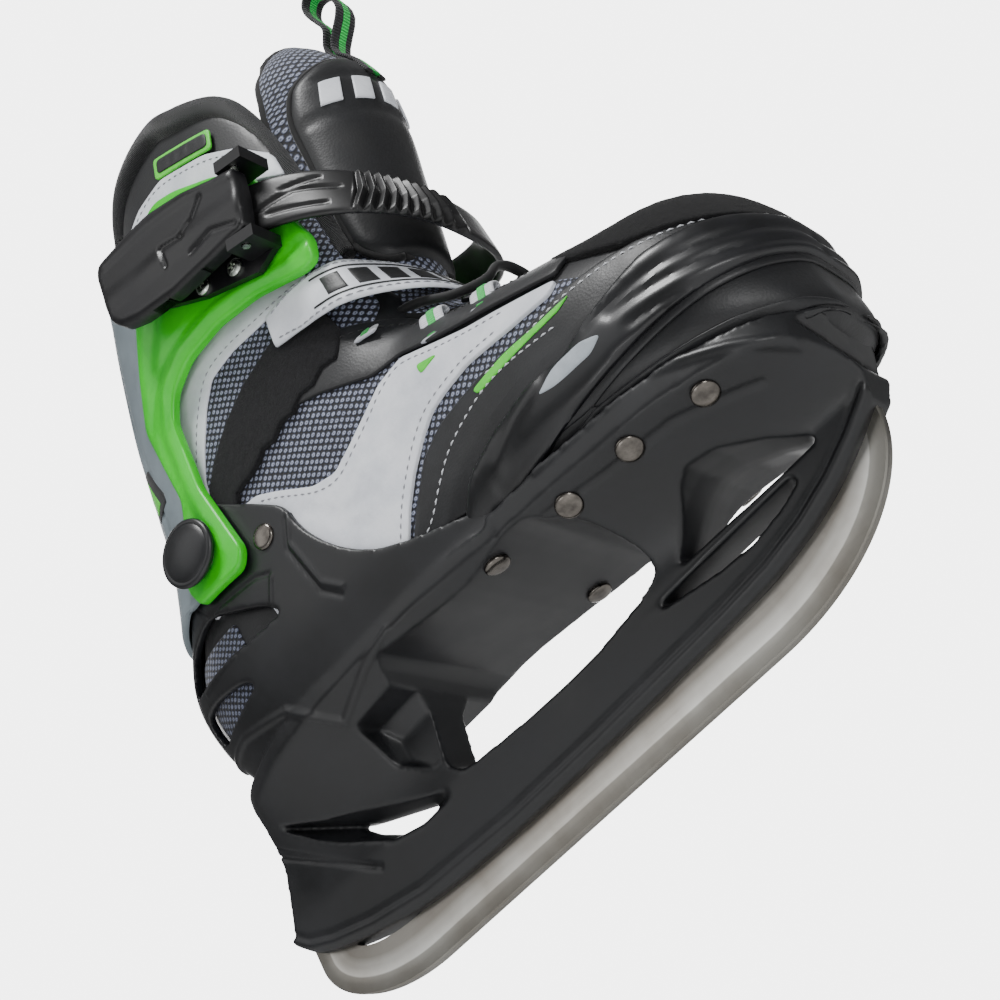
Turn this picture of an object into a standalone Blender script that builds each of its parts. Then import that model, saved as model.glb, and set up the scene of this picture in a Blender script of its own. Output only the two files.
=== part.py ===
"""Recreational soft-boot ice skate, right foot, modelled in metres.

+X points to the toe, -Y to the outer side with the buckle, +Z up. The origin is on the flat
middle of the runner's lower edge. Lengths in this file are millimetres until a mesh is made.
"""
import math

import bmesh
import bpy
from mathutils import Matrix, Vector

MM = 0.001

# Driving dimensions
GAP = 0.3                     # clearance between neighbouring pieces
RUNNER_THICKNESS = 4.0
RUNNER_FLAT = 55.0            # half length of the flat under the foot
RUNNER_FRONT = (61.5, 67.0, 42.0)   # quarter ellipse: centre x, length, height
RUNNER_REAR = (-88.0, 48.0, 26.0)
BEAM_HALF_WIDTH = 7.5
BEAM_TOP = 40.0
MIDDLE_GAP_TOP = 74.4         # underside of the sole tray between the towers
BOOT_WALL = 5.0
COLLAR_WALL = 8.0
CAGE_OFFSET = (0.4, 3.6)      # from the boot's side to the cage's inner and outer face
CUFF_OFFSET = (5.0, 8.0)
FRAME_OFFSET = (5.0, 9.0)
PIVOT = (-80.0, 156.0)        # x, z of the ankle pivot
PIVOT_SHANK_RADIUS = 3.5
PIVOT_CAP_RADIUS = 12.5
RIVET_RADIUS = 4.2
RIVET_STATIONS = (11.0, 44.0, 71.0, 99.0)
REAR_POWER = 2.8              # superellipse power of the leg's sections
CUFF_FRONT_POWER = 7.0        # the cuff's sides stay flat to their front edges
FOOT_TOP_EDGE = (172.0, 172.0, 176.0)     # z of the foot's top edge at the heel, pivot and instep
COLLAR_LOW_EDGE = (179.0, 180.0, 250.0)   # z of the collar's lower edge at the same places

# Foot sections: x, underside z, top z, half width
FOOT = (
    (-20, 86, 205, 34.5), (0, 84, 196, 34.5), (20, 81, 182, 36.5), (40, 79, 168, 39.0),
    (60, 76, 157, 42.0), (80, 73, 148, 43.5), (100, 69, 140, 43.0), (115, 66, 136, 40.5),
    (127, 63.5, 130, 34.5), (136, 62.5, 120, 26.0), (142, 65, 106, 15.0),
)
# Leg and heel sections: z, rear x, front x, half width
LEG = (
    (86, -115, 60, 32.5), (105, -123, 56, 35.5), (128, -125, 54, 36.5), (150, -114, 48, 36.5),
    (175, -104, 31, 36.5), (200, -100, 36, 36.5), (225, -97, 41, 36.5), (250, -91, 43, 37.0),
    (275, -84, 43, 37.0), (300, -76, 42, 36.5), (330, -62, 40, 35.0),
)
# Blade holder: lower edge and sole line
HOLDER_LOW = (
    (-139, 37), (-132, 30), (-122, 25.5), (-105, 20.5), (-81, 16), (-40, 14), (0, 14.5),
    (56, 16.5), (75, 18), (91, 21), (105, 25.5), (117, 31), (129, 38),
)
HOLDER_WIDTH = (
    (-125, 20), (-110, 27), (-90, 31), (-50, 32), (0, 33), (40, 37), (80, 41), (100, 40),
    (115, 37), (127, 30), (137, 15),
)
FRAME_OUTLINE = (
    (-41, 287), (-27, 290), (-17, 286), (14, 262), (23, 213), (20, 205), (14, 205), (-9, 216),
    (-28, 221), (-46, 221), (-58, 216), (-64, 208), (-66, 176), (-60, 142), (-64, 136),
    (-90, 141), (-94, 150), (-93, 163), (-80, 171), (-77, 180), (-81, 218), (-72, 236), (-62, 254),
)
LEVER_OUTLINE = (
    (18, 249.4), (-5, 262), (-22, 270), (-36, 273), (-53, 275), (-57, 262), (-59, 250),
    (-55, 244), (-46, 238), (-27, 231), (10.5, 225),
)
LEVER_AXIS = Vector((0.333, 0.0, 0.943)).normalized()
LEVER_PIVOT = Vector((12.0, -57.4, 238.0))
PAWL_REACH = 17.0            # from the lever's pivot back along the lever
INSOLE_SHARE = 0.62          # insole's half width as a share of the sole tray's
INSOLE_LIFT = 2.4            # insole's height over the boot's floor
LACE_RADIUS = 1.6
WEBBING_LIFT = 2.6           # eyelets' height over the foot
LACE_LIFT = 3.4
PIN_RADIUS = 1.5             # buckle lever's pin
PAWL_PIN_RADIUS = 0.6
RIVET_LIFT = 0.9             # rivet head's underside over the tray's nominal side
STRAP_WIDTH = 20.0
STRAP_THICKNESS = 3.2


def clear_scene():
    for item in list(bpy.data.objects):
        bpy.data.objects.remove(item, do_unlink=True)


def finish_material(name, hex_colour, roughness, metallic=0.0):
    """One Principled material from an sRGB hex colour."""
    material = bpy.data.materials.new(name)
    material.use_nodes = True
    shader = material.node_tree.nodes["Principled BSDF"]
    channels = [int(hex_colour[i:i + 2], 16) / 255 for i in (0, 2, 4)]
    linear = [c / 12.92 if c <= 0.04045 else ((c + 0.055) / 1.055) ** 2.4 for c in channels]
    shader.inputs["Base Color"].default_value = (*linear, 1.0)
    shader.inputs["Roughness"].default_value = roughness
    shader.inputs["Metallic"].default_value = metallic
    material.diffuse_color = (*linear, 1.0)
    return material


def add_object(name, bm, material=None, smooth_angle=40.0):
    """Store a bmesh whose coordinates are millimetres as an object in metres."""
    bmesh.ops.scale(bm, vec=(MM, MM, MM), verts=bm.verts)
    bmesh.ops.recalc_face_normals(bm, faces=bm.faces)
    mesh = bpy.data.meshes.new(name)
    bm.to_mesh(mesh)
    bm.free()
    mesh.shade_smooth()
    mesh.set_sharp_from_angle(angle=math.radians(smooth_angle))
    item = bpy.data.objects.new(name, mesh)
    bpy.context.scene.collection.objects.link(item)
    if material:
        mesh.materials.append(material)
    return item


def loft(name, rings, material=None):
    """Closed body through rings of equal point counts, capped at both ends."""
    bm = bmesh.new()
    rows = [[bm.verts.new(point) for point in ring] for ring in rings]
    count = len(rows[0])
    for low, high in zip(rows, rows[1:]):
        for i in range(count):
            j = (i + 1) % count
            bm.faces.new((low[i], low[j], high[j], high[i]))
    bm.faces.new(rows[0])
    bm.faces.new(rows[-1])
    return add_object(name, bm, material)


def prism(name, outline, y_low, y_high, material=None):
    """Outline in the XZ plane, extruded along Y."""
    rings = [[(x, y, z) for x, z in outline] for y in (y_low, y_high)]
    return loft(name, rings, material)


def modify(item, operation, tool):
    """Boolean the object with a tool, which stays as a hidden guide."""
    step = item.modifiers.new(operation.title(), "BOOLEAN")
    step.operation = operation
    step.solver = "EXACT"
    step.object = tool
    tool.hide_render = True
    tool.display_type = "WIRE"


def read_table(table, at, column):
    """Smooth value between the rows of a table whose first column rises."""
    rows = list(table)
    at = min(max(at, rows[0][0]), rows[-1][0])
    k = max(i for i, row in enumerate(rows[:-1]) if row[0] <= at)
    low, high = rows[k], rows[k + 1]
    before, after = rows[max(k - 1, 0)], rows[min(k + 2, len(rows) - 1)]
    span = high[0] - low[0]
    t = (at - low[0]) / span
    slope_low = (high[column] - before[column]) / (high[0] - before[0]) * span
    slope_high = (after[column] - low[column]) / (after[0] - low[0]) * span
    a, b = low[column], high[column]
    return (a * (2 * t**3 - 3 * t**2 + 1) + slope_low * (t**3 - 2 * t**2 + t)
            + b * (3 * t**2 - 2 * t**3) + slope_high * (t**3 - t**2))


def signed_power(value, power):
    return math.copysign(abs(value) ** power, value)


def leg_ring(z, grow, front_power=REAR_POWER, count=34):
    """Horizontal section of the leg and heel, grown outwards by a distance."""
    rear, front, half = (read_table(LEG, z, k) for k in (1, 2, 3))
    centre, length = (rear + front) / 2, (front - rear) / 2 + grow
    ring = []
    for i in range(count):
        angle = 2 * math.pi * i / count
        power = front_power if math.cos(angle) > 0 else REAR_POWER
        ring.append((centre + length * signed_power(math.cos(angle), 2 / power),
                     (half + grow) * signed_power(math.sin(angle), 2 / power), z))
    return ring


def foot_ring(x, grow, count=28):
    """Upright section of the foot: squarer below, rounder above, bent towards the big toe."""
    low, high, half = (read_table(FOOT, x, k) for k in (1, 2, 3))
    middle = low + 0.42 * (high - low)
    shift = 3.5 * max(0.0, (x - 40) / 100) ** 2
    toe_reach = grow * max(0.0, (x - 100) / 42)
    ring = []
    for i in range(count):
        angle = 2 * math.pi * i / count
        up = math.sin(angle)
        power = 2 / 2.3 if up > 0 else 2 / 4.5
        height = (high - middle if up > 0 else middle - low) + grow
        ring.append((x + toe_reach, shift + (half + grow) * signed_power(math.cos(angle), power),
                     middle + height * signed_power(up, power)))
    return ring


def leg_body(name, z_low, z_high, grow, step=14.0, front_power=REAR_POWER):
    count = max(2, round((z_high - z_low) / step) + 1)
    levels = [z_low + (z_high - z_low) * i / (count - 1) for i in range(count)]
    return loft(name, [leg_ring(z, grow, front_power) for z in levels])


def foot_body(name, grow, x_low=-20.0):
    stations = [x for x, *_ in FOOT if x >= x_low]
    rings = [foot_ring(x, grow) for x in stations]
    return loft(name, rings)


def holder_half_width(x, z, sole):
    """Half width of the blade holder's side at a height: narrow beam below, flared to the sole."""
    full = read_table(HOLDER_WIDTH, x, 1)
    rise = min(max((z - BEAM_TOP) / (sole - 7 - BEAM_TOP), 0.0), 1.0)
    return BEAM_HALF_WIDTH + (full - BEAM_HALF_WIDTH) * rise ** 1.6


def sole_height(x):
    """Height of the holder's top face, just under the boot."""
    return (read_table(FOOT, x, 1) if x > -20 else 86.0) - GAP


def runner_outline(grow=0.0, top=31.0):
    points = []
    for i in range(11):
        angle = math.pi / 2 * i / 10
        x, a, b = RUNNER_REAR
        points.append((x - (a + grow) * math.cos(angle), b - (b + grow) * math.sin(angle)))
    points += [(-RUNNER_FLAT, -grow), (RUNNER_FLAT, -grow)]
    for i in range(13):
        angle = math.pi / 2 * i / 12
        x, a, b = RUNNER_FRONT
        points.append((x + (a + grow) * math.sin(angle), b - (b + grow) * math.cos(angle)))
    points += [(102.0, RUNNER_FRONT[2] + grow), (92.0, top + grow)]
    points += [(-118.0, top + grow), (-128.0, 35.0 + grow), (-136.0 - grow, 34.0 + grow)]
    return points


def through_pocket(name, outline, centre, waist, reach=46.0):
    """Funnel-shaped cutter through a tower: full outline outside, smaller at the middle."""
    rings = []
    for y, scale in ((-reach, 1.0), (-12.0, 1.0), (0.0, waist), (12.0, 1.0), (reach, 1.0)):
        rings.append([(centre[0] + (x - centre[0]) * scale, y, centre[1] + (z - centre[1]) * scale)
                      for x, z in outline])
    return loft(name, rings)


def make_runner(steel):
    half = RUNNER_THICKNESS / 2
    prism("runner_blade", runner_outline(), -half, half, steel)


def make_holder(black):
    """Moulded blade holder: beam, two towers and the sole tray in one piece."""
    columns, rows = 34, 9
    rear = ((0.0, -139.0), (0.35, -131.0), (0.6, -127.0), (1.0, -125.0))
    front = ((0.0, 129.0), (0.33, 133.0), (0.62, 128.0), (0.88, 129.0), (1.0, 137.0))
    grid = []
    for j in range(rows + 1):
        t = j / rows
        x_rear, x_front = read_table(rear, t, 1), read_table(front, t, 1)
        line = []
        for i in range(columns + 1):
            x = x_rear + (x_front - x_rear) * i / columns
            low, high = read_table(HOLDER_LOW, x, 1), sole_height(x)
            z = low + (high - low) * t
            line.append((x, max(holder_half_width(x, z, high), 1.0), z))
        grid.append(line)
    bm = bmesh.new()
    sides = {}
    for sign in (-1, 1):
        sides[sign] = [[bm.verts.new((x, sign * y, z)) for x, y, z in line] for line in grid]
        for a, b in zip(sides[sign], sides[sign][1:]):
            for i in range(columns):
                bm.faces.new((a[i], a[i + 1], b[i + 1], b[i]))
    left, right = sides[-1], sides[1]
    for row in (0, rows):
        for i in range(columns):
            bm.faces.new((left[row][i], left[row][i + 1], right[row][i + 1], right[row][i]))
    for column in (0, columns):
        for j in range(rows):
            bm.faces.new((left[j][column], left[j + 1][column],
                          right[j + 1][column], right[j][column]))
    holder = add_object("blade_holder", bm, black)
    half = RUNNER_THICKNESS / 2 + GAP
    modify(holder, "DIFFERENCE", prism("cut_runner_slot", runner_outline(GAP), -half, half))
    middle_gap = ((-49, 43), (-33, 40), (-8, 38.5), (8, 38.5), (24, 40), (46, 45), (44, 62),
                  (36, 70), (26, MIDDLE_GAP_TOP), (0, MIDDLE_GAP_TOP), (-30, 77.5), (-42, 76),
                  (-49, 55))
    modify(holder, "DIFFERENCE", prism("cut_middle_gap", middle_gap, -50, 50))
    front_window = ((56, 41), (71, 53), (76, 55.5), (86, 54.5), (100, 49), (110, 42.5), (104, 41))
    modify(holder, "DIFFERENCE",
           through_pocket("cut_front_window", front_window, (84, 47), 0.72))
    front_slit = ((34, 36), (97, 36.5), (92, 34.8), (78, 33.2), (60, 33.0))
    modify(holder, "DIFFERENCE", through_pocket("cut_front_slit", front_slit, (74, 35), 0.9))
    rear_window = ((-113, 64), (-100, 59), (-58, 42), (-53, 38.5), (-66, 37), (-84, 40), (-100, 50))
    modify(holder, "DIFFERENCE", through_pocket("cut_rear_window", rear_window, (-86, 47), 0.7))
    return holder


def cage_keep_outline():
    return ((-150, 86.2), (-150, 178), (-69, 172), (-46, 150), (-41, 143), (-38, 131), (-31, 118),
            (-20, 106), (-6, 98), (10, 92), (24, 86.2))


def make_heel_cage(black):
    """Heel cage with its two ankle wings, around the rear of the boot."""
    cage = leg_body("heel_cage", 86.2, 176.0, CAGE_OFFSET[1], step=9.0)
    cage.data.materials.append(black)
    modify(cage, "INTERSECT", prism("keep_cage", cage_keep_outline(), -80, 80))
    modify(cage, "DIFFERENCE", leg_body("cut_cage_inside", 80.0, 190.0, CAGE_OFFSET[0], step=9.0))
    modify(cage, "DIFFERENCE", foot_body("cut_cage_foot", CAGE_OFFSET[0]))
    upper = ((-121, 127), (-112, 137), (-92, 138), (-66, 121), (-60, 114), (-80, 118), (-110, 123))
    lower = ((-120, 117), (-108, 114), (-90, 108), (-86, 104), (-100, 103), (-116, 103))
    modify(cage, "DIFFERENCE", prism("cut_cage_window_upper", upper, -60, 60))
    modify(cage, "DIFFERENCE", prism("cut_cage_window_lower", lower, -60, 60))
    rear = [(-128, 100), (-95, 100), (-95, 136), (-128, 136)]
    rear_slot = [[(x, y, z) for x, z in rear] for y in (-9, 9)]
    modify(cage, "DIFFERENCE", loft("cut_cage_rear_slot", rear_slot))
    round_hole(cage, "cut_cage_pivot", PIVOT[0], PIVOT[1], PIVOT_SHANK_RADIUS + GAP)
    return cage


def round_hole(item, name, x, z, radius):
    outline = [(x + radius * math.cos(2 * math.pi * i / 20),
                z + radius * math.sin(2 * math.pi * i / 20)) for i in range(20)]
    modify(item, "DIFFERENCE", prism(name, outline, -80, 80))


def swing_region(name, levels, above):
    """Cutter over or under the slanted split between the foot and the collar."""
    heel, pivot, instep = levels
    line = [(-160, heel), (PIVOT[0], pivot), (50, instep), (170, instep + 33)]
    far = [(170, 400), (-160, 400)] if above else [(170, -20), (-160, -20)]
    return prism(name, line + far, -80, 80)


def make_boot_foot(white):
    """Hollow lower boot from the toe to the ankle."""
    foot = foot_body("boot_foot", 0.0)
    foot.data.materials.append(white)
    modify(foot, "UNION", leg_body("add_heel", 86.0, 186.0, 0.0))
    modify(foot, "DIFFERENCE", foot_body("cut_foot_inside", -BOOT_WALL))
    modify(foot, "DIFFERENCE", leg_body("cut_heel_inside", 91.0, 200.0, -BOOT_WALL))
    modify(foot, "DIFFERENCE", swing_region("cut_foot_top", FOOT_TOP_EDGE, True))
    return foot


def make_collar(white):
    """Padded ankle collar, open at the front."""
    collar = leg_body("ankle_collar", 150.0, 330.0, 0.0)
    collar.data.materials.append(white)
    modify(collar, "DIFFERENCE", leg_body("cut_collar_inside", 140.0, 345.0, -COLLAR_WALL))
    modify(collar, "DIFFERENCE", swing_region("cut_collar_low", COLLAR_LOW_EDGE, False))
    throat = ((20, 120), (20, 240), (17, 290), (-2, 340), (90, 340), (90, 120))
    modify(collar, "DIFFERENCE", prism("cut_throat", throat, -60, 60))
    return collar


def make_tongue(name, levels, black, lean):
    """Curved tongue plate made of crescent sections."""
    rings = []
    for z in levels:
        reach = lean(z)
        outer, inner = [], []
        for i in range(17):
            angle = math.radians(-74 + 148 * i / 16)
            outer.append((reach - 50 + 50 * math.cos(angle), 25.5 * math.sin(angle), z))
            inner.append((reach - 50 + 43.5 * math.cos(angle), 19.5 * math.sin(angle), z))
        rings.append(outer + inner[::-1])
    return loft(name, rings, black)


def make_tongue_upper(black):
    def reach(z):
        return 42.5 + 5.0 * (z - 228) / 45 if z < 290 else 48.0 - 11.0 * ((z - 290) / 34) ** 2
    levels = [228, 245, 262, 280, 295, 308, 318, 325]
    return make_tongue("tongue_upper", levels, black, reach)


def make_tongue_lower(black):
    """Lower tongue along the instep, over the throat of the foot."""
    rings = []
    for x, z in ((30, 183), (44, 171.5), (60, 163.5), (78, 155), (94, 148.5)):
        half = 15.0
        ring = [(x, half * math.cos(a), z + 5.0 * math.sin(a) - 0.012 * (half * math.cos(a)) ** 2)
                for a in (2 * math.pi * i / 20 for i in range(20))]
        rings.append(ring)
    tongue = loft("tongue_lower", rings, black)
    modify(tongue, "DIFFERENCE", foot_body("cut_tongue_foot", 0.6))
    modify(tongue, "DIFFERENCE", leg_body("cut_tongue_leg", 86.0, 186.0, 0.6))
    return tongue


def make_toe_shell(black):
    """Rubbery toe bumper around the front of the foot."""
    shell = foot_body("toe_shell", 4.2, x_low=20.0)
    shell.data.materials.append(black)
    keep = [(x, sole_height(x) + 2 * GAP) for x in (28, 40, 60, 80, 100, 115, 127)]
    keep += [(137, 63), (160, 63), (160, 110), (140, 110), (100, 107), (60, 104), (36, 98)]
    modify(shell, "INTERSECT", prism("keep_toe_shell", keep, -80, 80))
    modify(shell, "DIFFERENCE", foot_body("cut_toe_inside", GAP + 0.1, x_low=0.0))
    return shell


def make_toe_cap(black):
    """Felt-faced cap over the top of the toes."""
    cap = foot_body("toe_cap", 1.8, x_low=80.0)
    cap.data.materials.append(black)
    keep = ((104, 112), (160, 112), (160, 150), (100, 150))
    modify(cap, "INTERSECT", prism("keep_toe_cap", keep, -80, 80))
    modify(cap, "DIFFERENCE", foot_body("cut_cap_inside", GAP + 0.1, x_low=60.0))
    return cap


def make_insoles(board_grey, foam):
    """Stiff lasting board and the footbed that lies on it."""
    for name, material, low, high in (("lasting_board", board_grey, 0.5, 2.5),
                                      ("footbed", foam, 2.9, 6.9)):
        rings = []
        for x in (-100, -90, -60, -20, 20, 50, 80, 105, 120):
            half = INSOLE_SHARE * min(read_table(HOLDER_WIDTH, x, 1), 34)
            base = sole_height(x) + BOOT_WALL + INSOLE_LIFT
            rings.append([(x, -half, base + low), (x, half, base + low),
                          (x, half, base + high), (x, -half, base + high)])
        loft(name, rings, material)


def ring_slice(name, z_low, z_high, offsets, material, keep, y_side=0):
    """Shell between two offsets of the leg, kept inside an outline seen from the side."""
    shell = leg_body(name, z_low, z_high, offsets[1], front_power=CUFF_FRONT_POWER)
    shell.data.materials.append(material)
    low, high = {0: (-90, 90), -1: (-90, -5), 1: (5, 90)}[y_side]
    modify(shell, "INTERSECT", prism("keep_" + name, keep, low, high))
    modify(shell, "DIFFERENCE",
           leg_body("cut_" + name, z_low - 12, z_high + 12, offsets[0],
                    front_power=CUFF_FRONT_POWER))
    return shell


def grown_outline(outline, distance):
    """Outline moved outwards along its corner normals."""
    area = sum(a[0] * b[1] - b[0] * a[1] for a, b in zip(outline, outline[1:] + outline[:1]))
    turn = 1.0 if area > 0 else -1.0
    grown = []
    for before, here, after in zip(outline[-1:] + outline[:-1], outline, outline[1:] + outline[:1]):
        along = (Vector(after) - Vector(before)).normalized()
        grown.append((here[0] + turn * distance * along.y, here[1] - turn * distance * along.x))
    return tuple(grown)


def make_cuff(grey, green):
    """Cuff: grey rear shell, with a green frame on each side."""
    keep = ((-150, 147), (-104, 143), (-84, 143), (-74, 146), (-72, 176), (-75, 218), (-58, 252),
            (-46, 286), (-60, 291), (-84, 290), (-150, 284))
    shell = ring_slice("cuff_shell", 140, 292, CUFF_OFFSET, grey, keep)
    modify(shell, "DIFFERENCE",
           prism("cut_cuff_frame", grown_outline(FRAME_OUTLINE, GAP), -90, 90))
    for side, y_side in (("outer", -1), ("inner", 1)):
        frame = ring_slice("cuff_frame_" + side, 134, 294, FRAME_OFFSET, green,
                           FRAME_OUTLINE, y_side)
        round_hole(frame, "cut_frame_pivot_" + side, PIVOT[0], PIVOT[1], PIVOT_SHANK_RADIUS + GAP)
    return shell


def turned(name, profile, base, direction, material, count=24):
    """Body turned about an axis: profile of (distance along the axis, radius)."""
    axis = Vector(direction).normalized()
    rotate = axis.to_track_quat("Z", "Y").to_matrix()
    rings = []
    for along, radius in profile:
        rings.append([Vector(base) + rotate @ Vector((radius * math.cos(2 * math.pi * i / count),
                                                      radius * math.sin(2 * math.pi * i / count),
                                                      along)) for i in range(count)])
    return loft(name, rings, material)


def make_sole_rivets(holder, steel):
    """Four domed rivets along each edge of the sole tray."""
    for side, sign in (("outer", -1), ("inner", 1)):
        for number, x in enumerate(RIVET_STATIONS, 1):
            sole = sole_height(x)
            full = read_table(HOLDER_WIDTH, x, 1)
            y = full - 6.5
            rise = ((y - BEAM_HALF_WIDTH) / (full - BEAM_HALF_WIDTH)) ** (1 / 1.6)
            z = BEAM_TOP + rise * (sole - 7 - BEAM_TOP)
            slope = (holder_half_width(x, z + 0.5, sole) - holder_half_width(x, z - 0.5, sole))
            outward = Vector((0.0, sign, -slope)).normalized()
            if number == 1:
                z, outward = MIDDLE_GAP_TOP, Vector((0.0, 0.0, -1.0))
            name = "sole_rivet_{}_{}".format(side, number)
            base = Vector((x, sign * y, z)) + outward * RIVET_LIFT
            shank = 1.6
            profile = [(-4.0, shank), (0.0, shank), (0.0, RIVET_RADIUS), (0.5, RIVET_RADIUS),
                       (1.2, RIVET_RADIUS * 0.75), (1.5, RIVET_RADIUS * 0.35)]
            turned(name, profile, base, outward, steel, 16)
            hole = turned("cut_" + name, [(-4.6, shank + GAP), (6.0, shank + GAP)],
                          base, outward, None, 16)
            modify(holder, "DIFFERENCE", hole)


def side_surface(x, z, offset, front_power=REAR_POWER):
    """Half width of the leg at a point of its side, grown by an offset."""
    rear, front, half = (read_table(LEG, z, k) for k in (1, 2, 3))
    centre, length = (rear + front) / 2, (front - rear) / 2 + offset
    power = front_power if x > centre else REAR_POWER
    share = max(0.0, 1 - abs((x - centre) / length) ** power)
    return (half + offset) * share ** (1 / power)


def make_pivots(steel, black):
    """Ankle pivot bolts with their caps, and the rivets through the wings."""
    for side, sign in (("outer", -1), ("inner", 1)):
        face = side_surface(PIVOT[0] + PIVOT_CAP_RADIUS, PIVOT[1], FRAME_OFFSET[1]) + 0.3
        inside = side_surface(PIVOT[0], PIVOT[1], CAGE_OFFSET[0]) + 0.6
        base = (PIVOT[0], sign * inside, PIVOT[1])
        reach = face - inside
        turned("pivot_bolt_" + side, [(0.0, PIVOT_SHANK_RADIUS), (reach, PIVOT_SHANK_RADIUS)],
               base, (0, sign, 0), steel, 20)
        turned("pivot_cap_" + side,
               [(0.0, PIVOT_CAP_RADIUS - 0.6), (1.8, PIVOT_CAP_RADIUS), (2.8, PIVOT_CAP_RADIUS * 0.93),
                (4.0, PIVOT_CAP_RADIUS * 0.7), (4.7, PIVOT_CAP_RADIUS * 0.35)],
               (PIVOT[0], sign * (face + GAP), PIVOT[1]), (0, sign, 0), black, 32)
        x, z = -53.0, 141.0
        wall = side_surface(x, z, CAGE_OFFSET[1])
        turned("wing_rivet_" + side,
               [(0.0, RIVET_RADIUS), (0.6, RIVET_RADIUS), (0.9, RIVET_RADIUS * 0.9),
                (1.2, RIVET_RADIUS * 0.4)],
               (x, sign * (wall + 0.45), z), (0, sign, 0), steel, 20)
    turned("cuff_rear_screw", [(0.0, 4.0), (1.2, 4.0), (2.2, 2.6)],
           (-93 - CUFF_OFFSET[1] - 2.4, 0, 246), (-1, 0, -0.1), steel, 20)


def band(name, points, normals, width, thickness, material):
    """Flat strap along a path: rectangular section set square to the path."""
    rings = []
    last = len(points) - 1
    for i, (point, normal) in enumerate(zip(points, normals)):
        along = (points[min(i + 1, last)] - points[max(i - 1, 0)]).normalized()
        out = (normal - along * normal.dot(along)).normalized()
        across = along.cross(out)
        wide = width(i / last) if callable(width) else width
        rings.append([point + across * (sx * wide / 2) + out * (sz * thickness / 2)
                      for sx, sz in ((-1, -1), (1, -1), (1, 1), (-1, 1))])
    return loft(name, rings, material)


def around_leg(start, end, count, centre, length, half, power, height):
    """Points and outward normals of a strap that goes round the front of the leg."""
    points, normals = [], []
    for i in range(count):
        angle = math.radians(start + (end - start) * i / (count - 1))
        x = centre + length * signed_power(math.cos(angle), 2 / power)
        y = half * signed_power(math.sin(angle), 2 / power)
        points.append(Vector((x, y, height(x))))
        nx = signed_power(abs((x - centre) / length) ** (power - 1), 1.0) * (1 if x > centre else -1)
        ny = abs(y / half) ** (power - 1) * (1 if y > 0 else -1)
        normals.append(Vector((nx / length, ny / half, 0.0)).normalized())
    return points, normals


def strap_height(x):
    drop = max(0.0, (x - 8) / 46)
    return 238.0 - 28.0 * drop ** 1.2 if x > 8 else 238.0 + 0.33 * (8 - x)


def make_ladder_strap(black, steel):
    """Cuff strap from the buckle round the front to its anchor bolt on the inner side."""
    points, normals = around_leg(-97, 104, 33, -8.0, 61.0, 52.0, 2.6, strap_height)
    band("ladder_strap", points, normals, STRAP_WIDTH, STRAP_THICKNESS, black)
    end, out = points[-3], normals[-3]
    turned("strap_anchor_bolt", [(0.0, 4.5), (1.0, 4.5), (2.0, 3.0)],
           end + out * (STRAP_THICKNESS / 2 + GAP), out, steel, 20)


def tilted_box(name, centre, along, sizes, material=None):
    """Box whose first side lies along a direction in the XZ plane."""
    side = Vector(along).normalized()
    frame = Matrix((side, Vector((0, 1, 0)), side.cross(Vector((0, 1, 0))))).transposed()
    corners = []
    for sx in (-1, 1):
        ring = []
        for sy, sz in ((-1, -1), (1, -1), (1, 1), (-1, 1)):
            local = Vector((sx * sizes[0] / 2, sy * sizes[1] / 2, sz * sizes[2] / 2))
            ring.append(Vector(centre) + frame @ local)
        corners.append(ring)
    return loft(name, corners, material)


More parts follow.
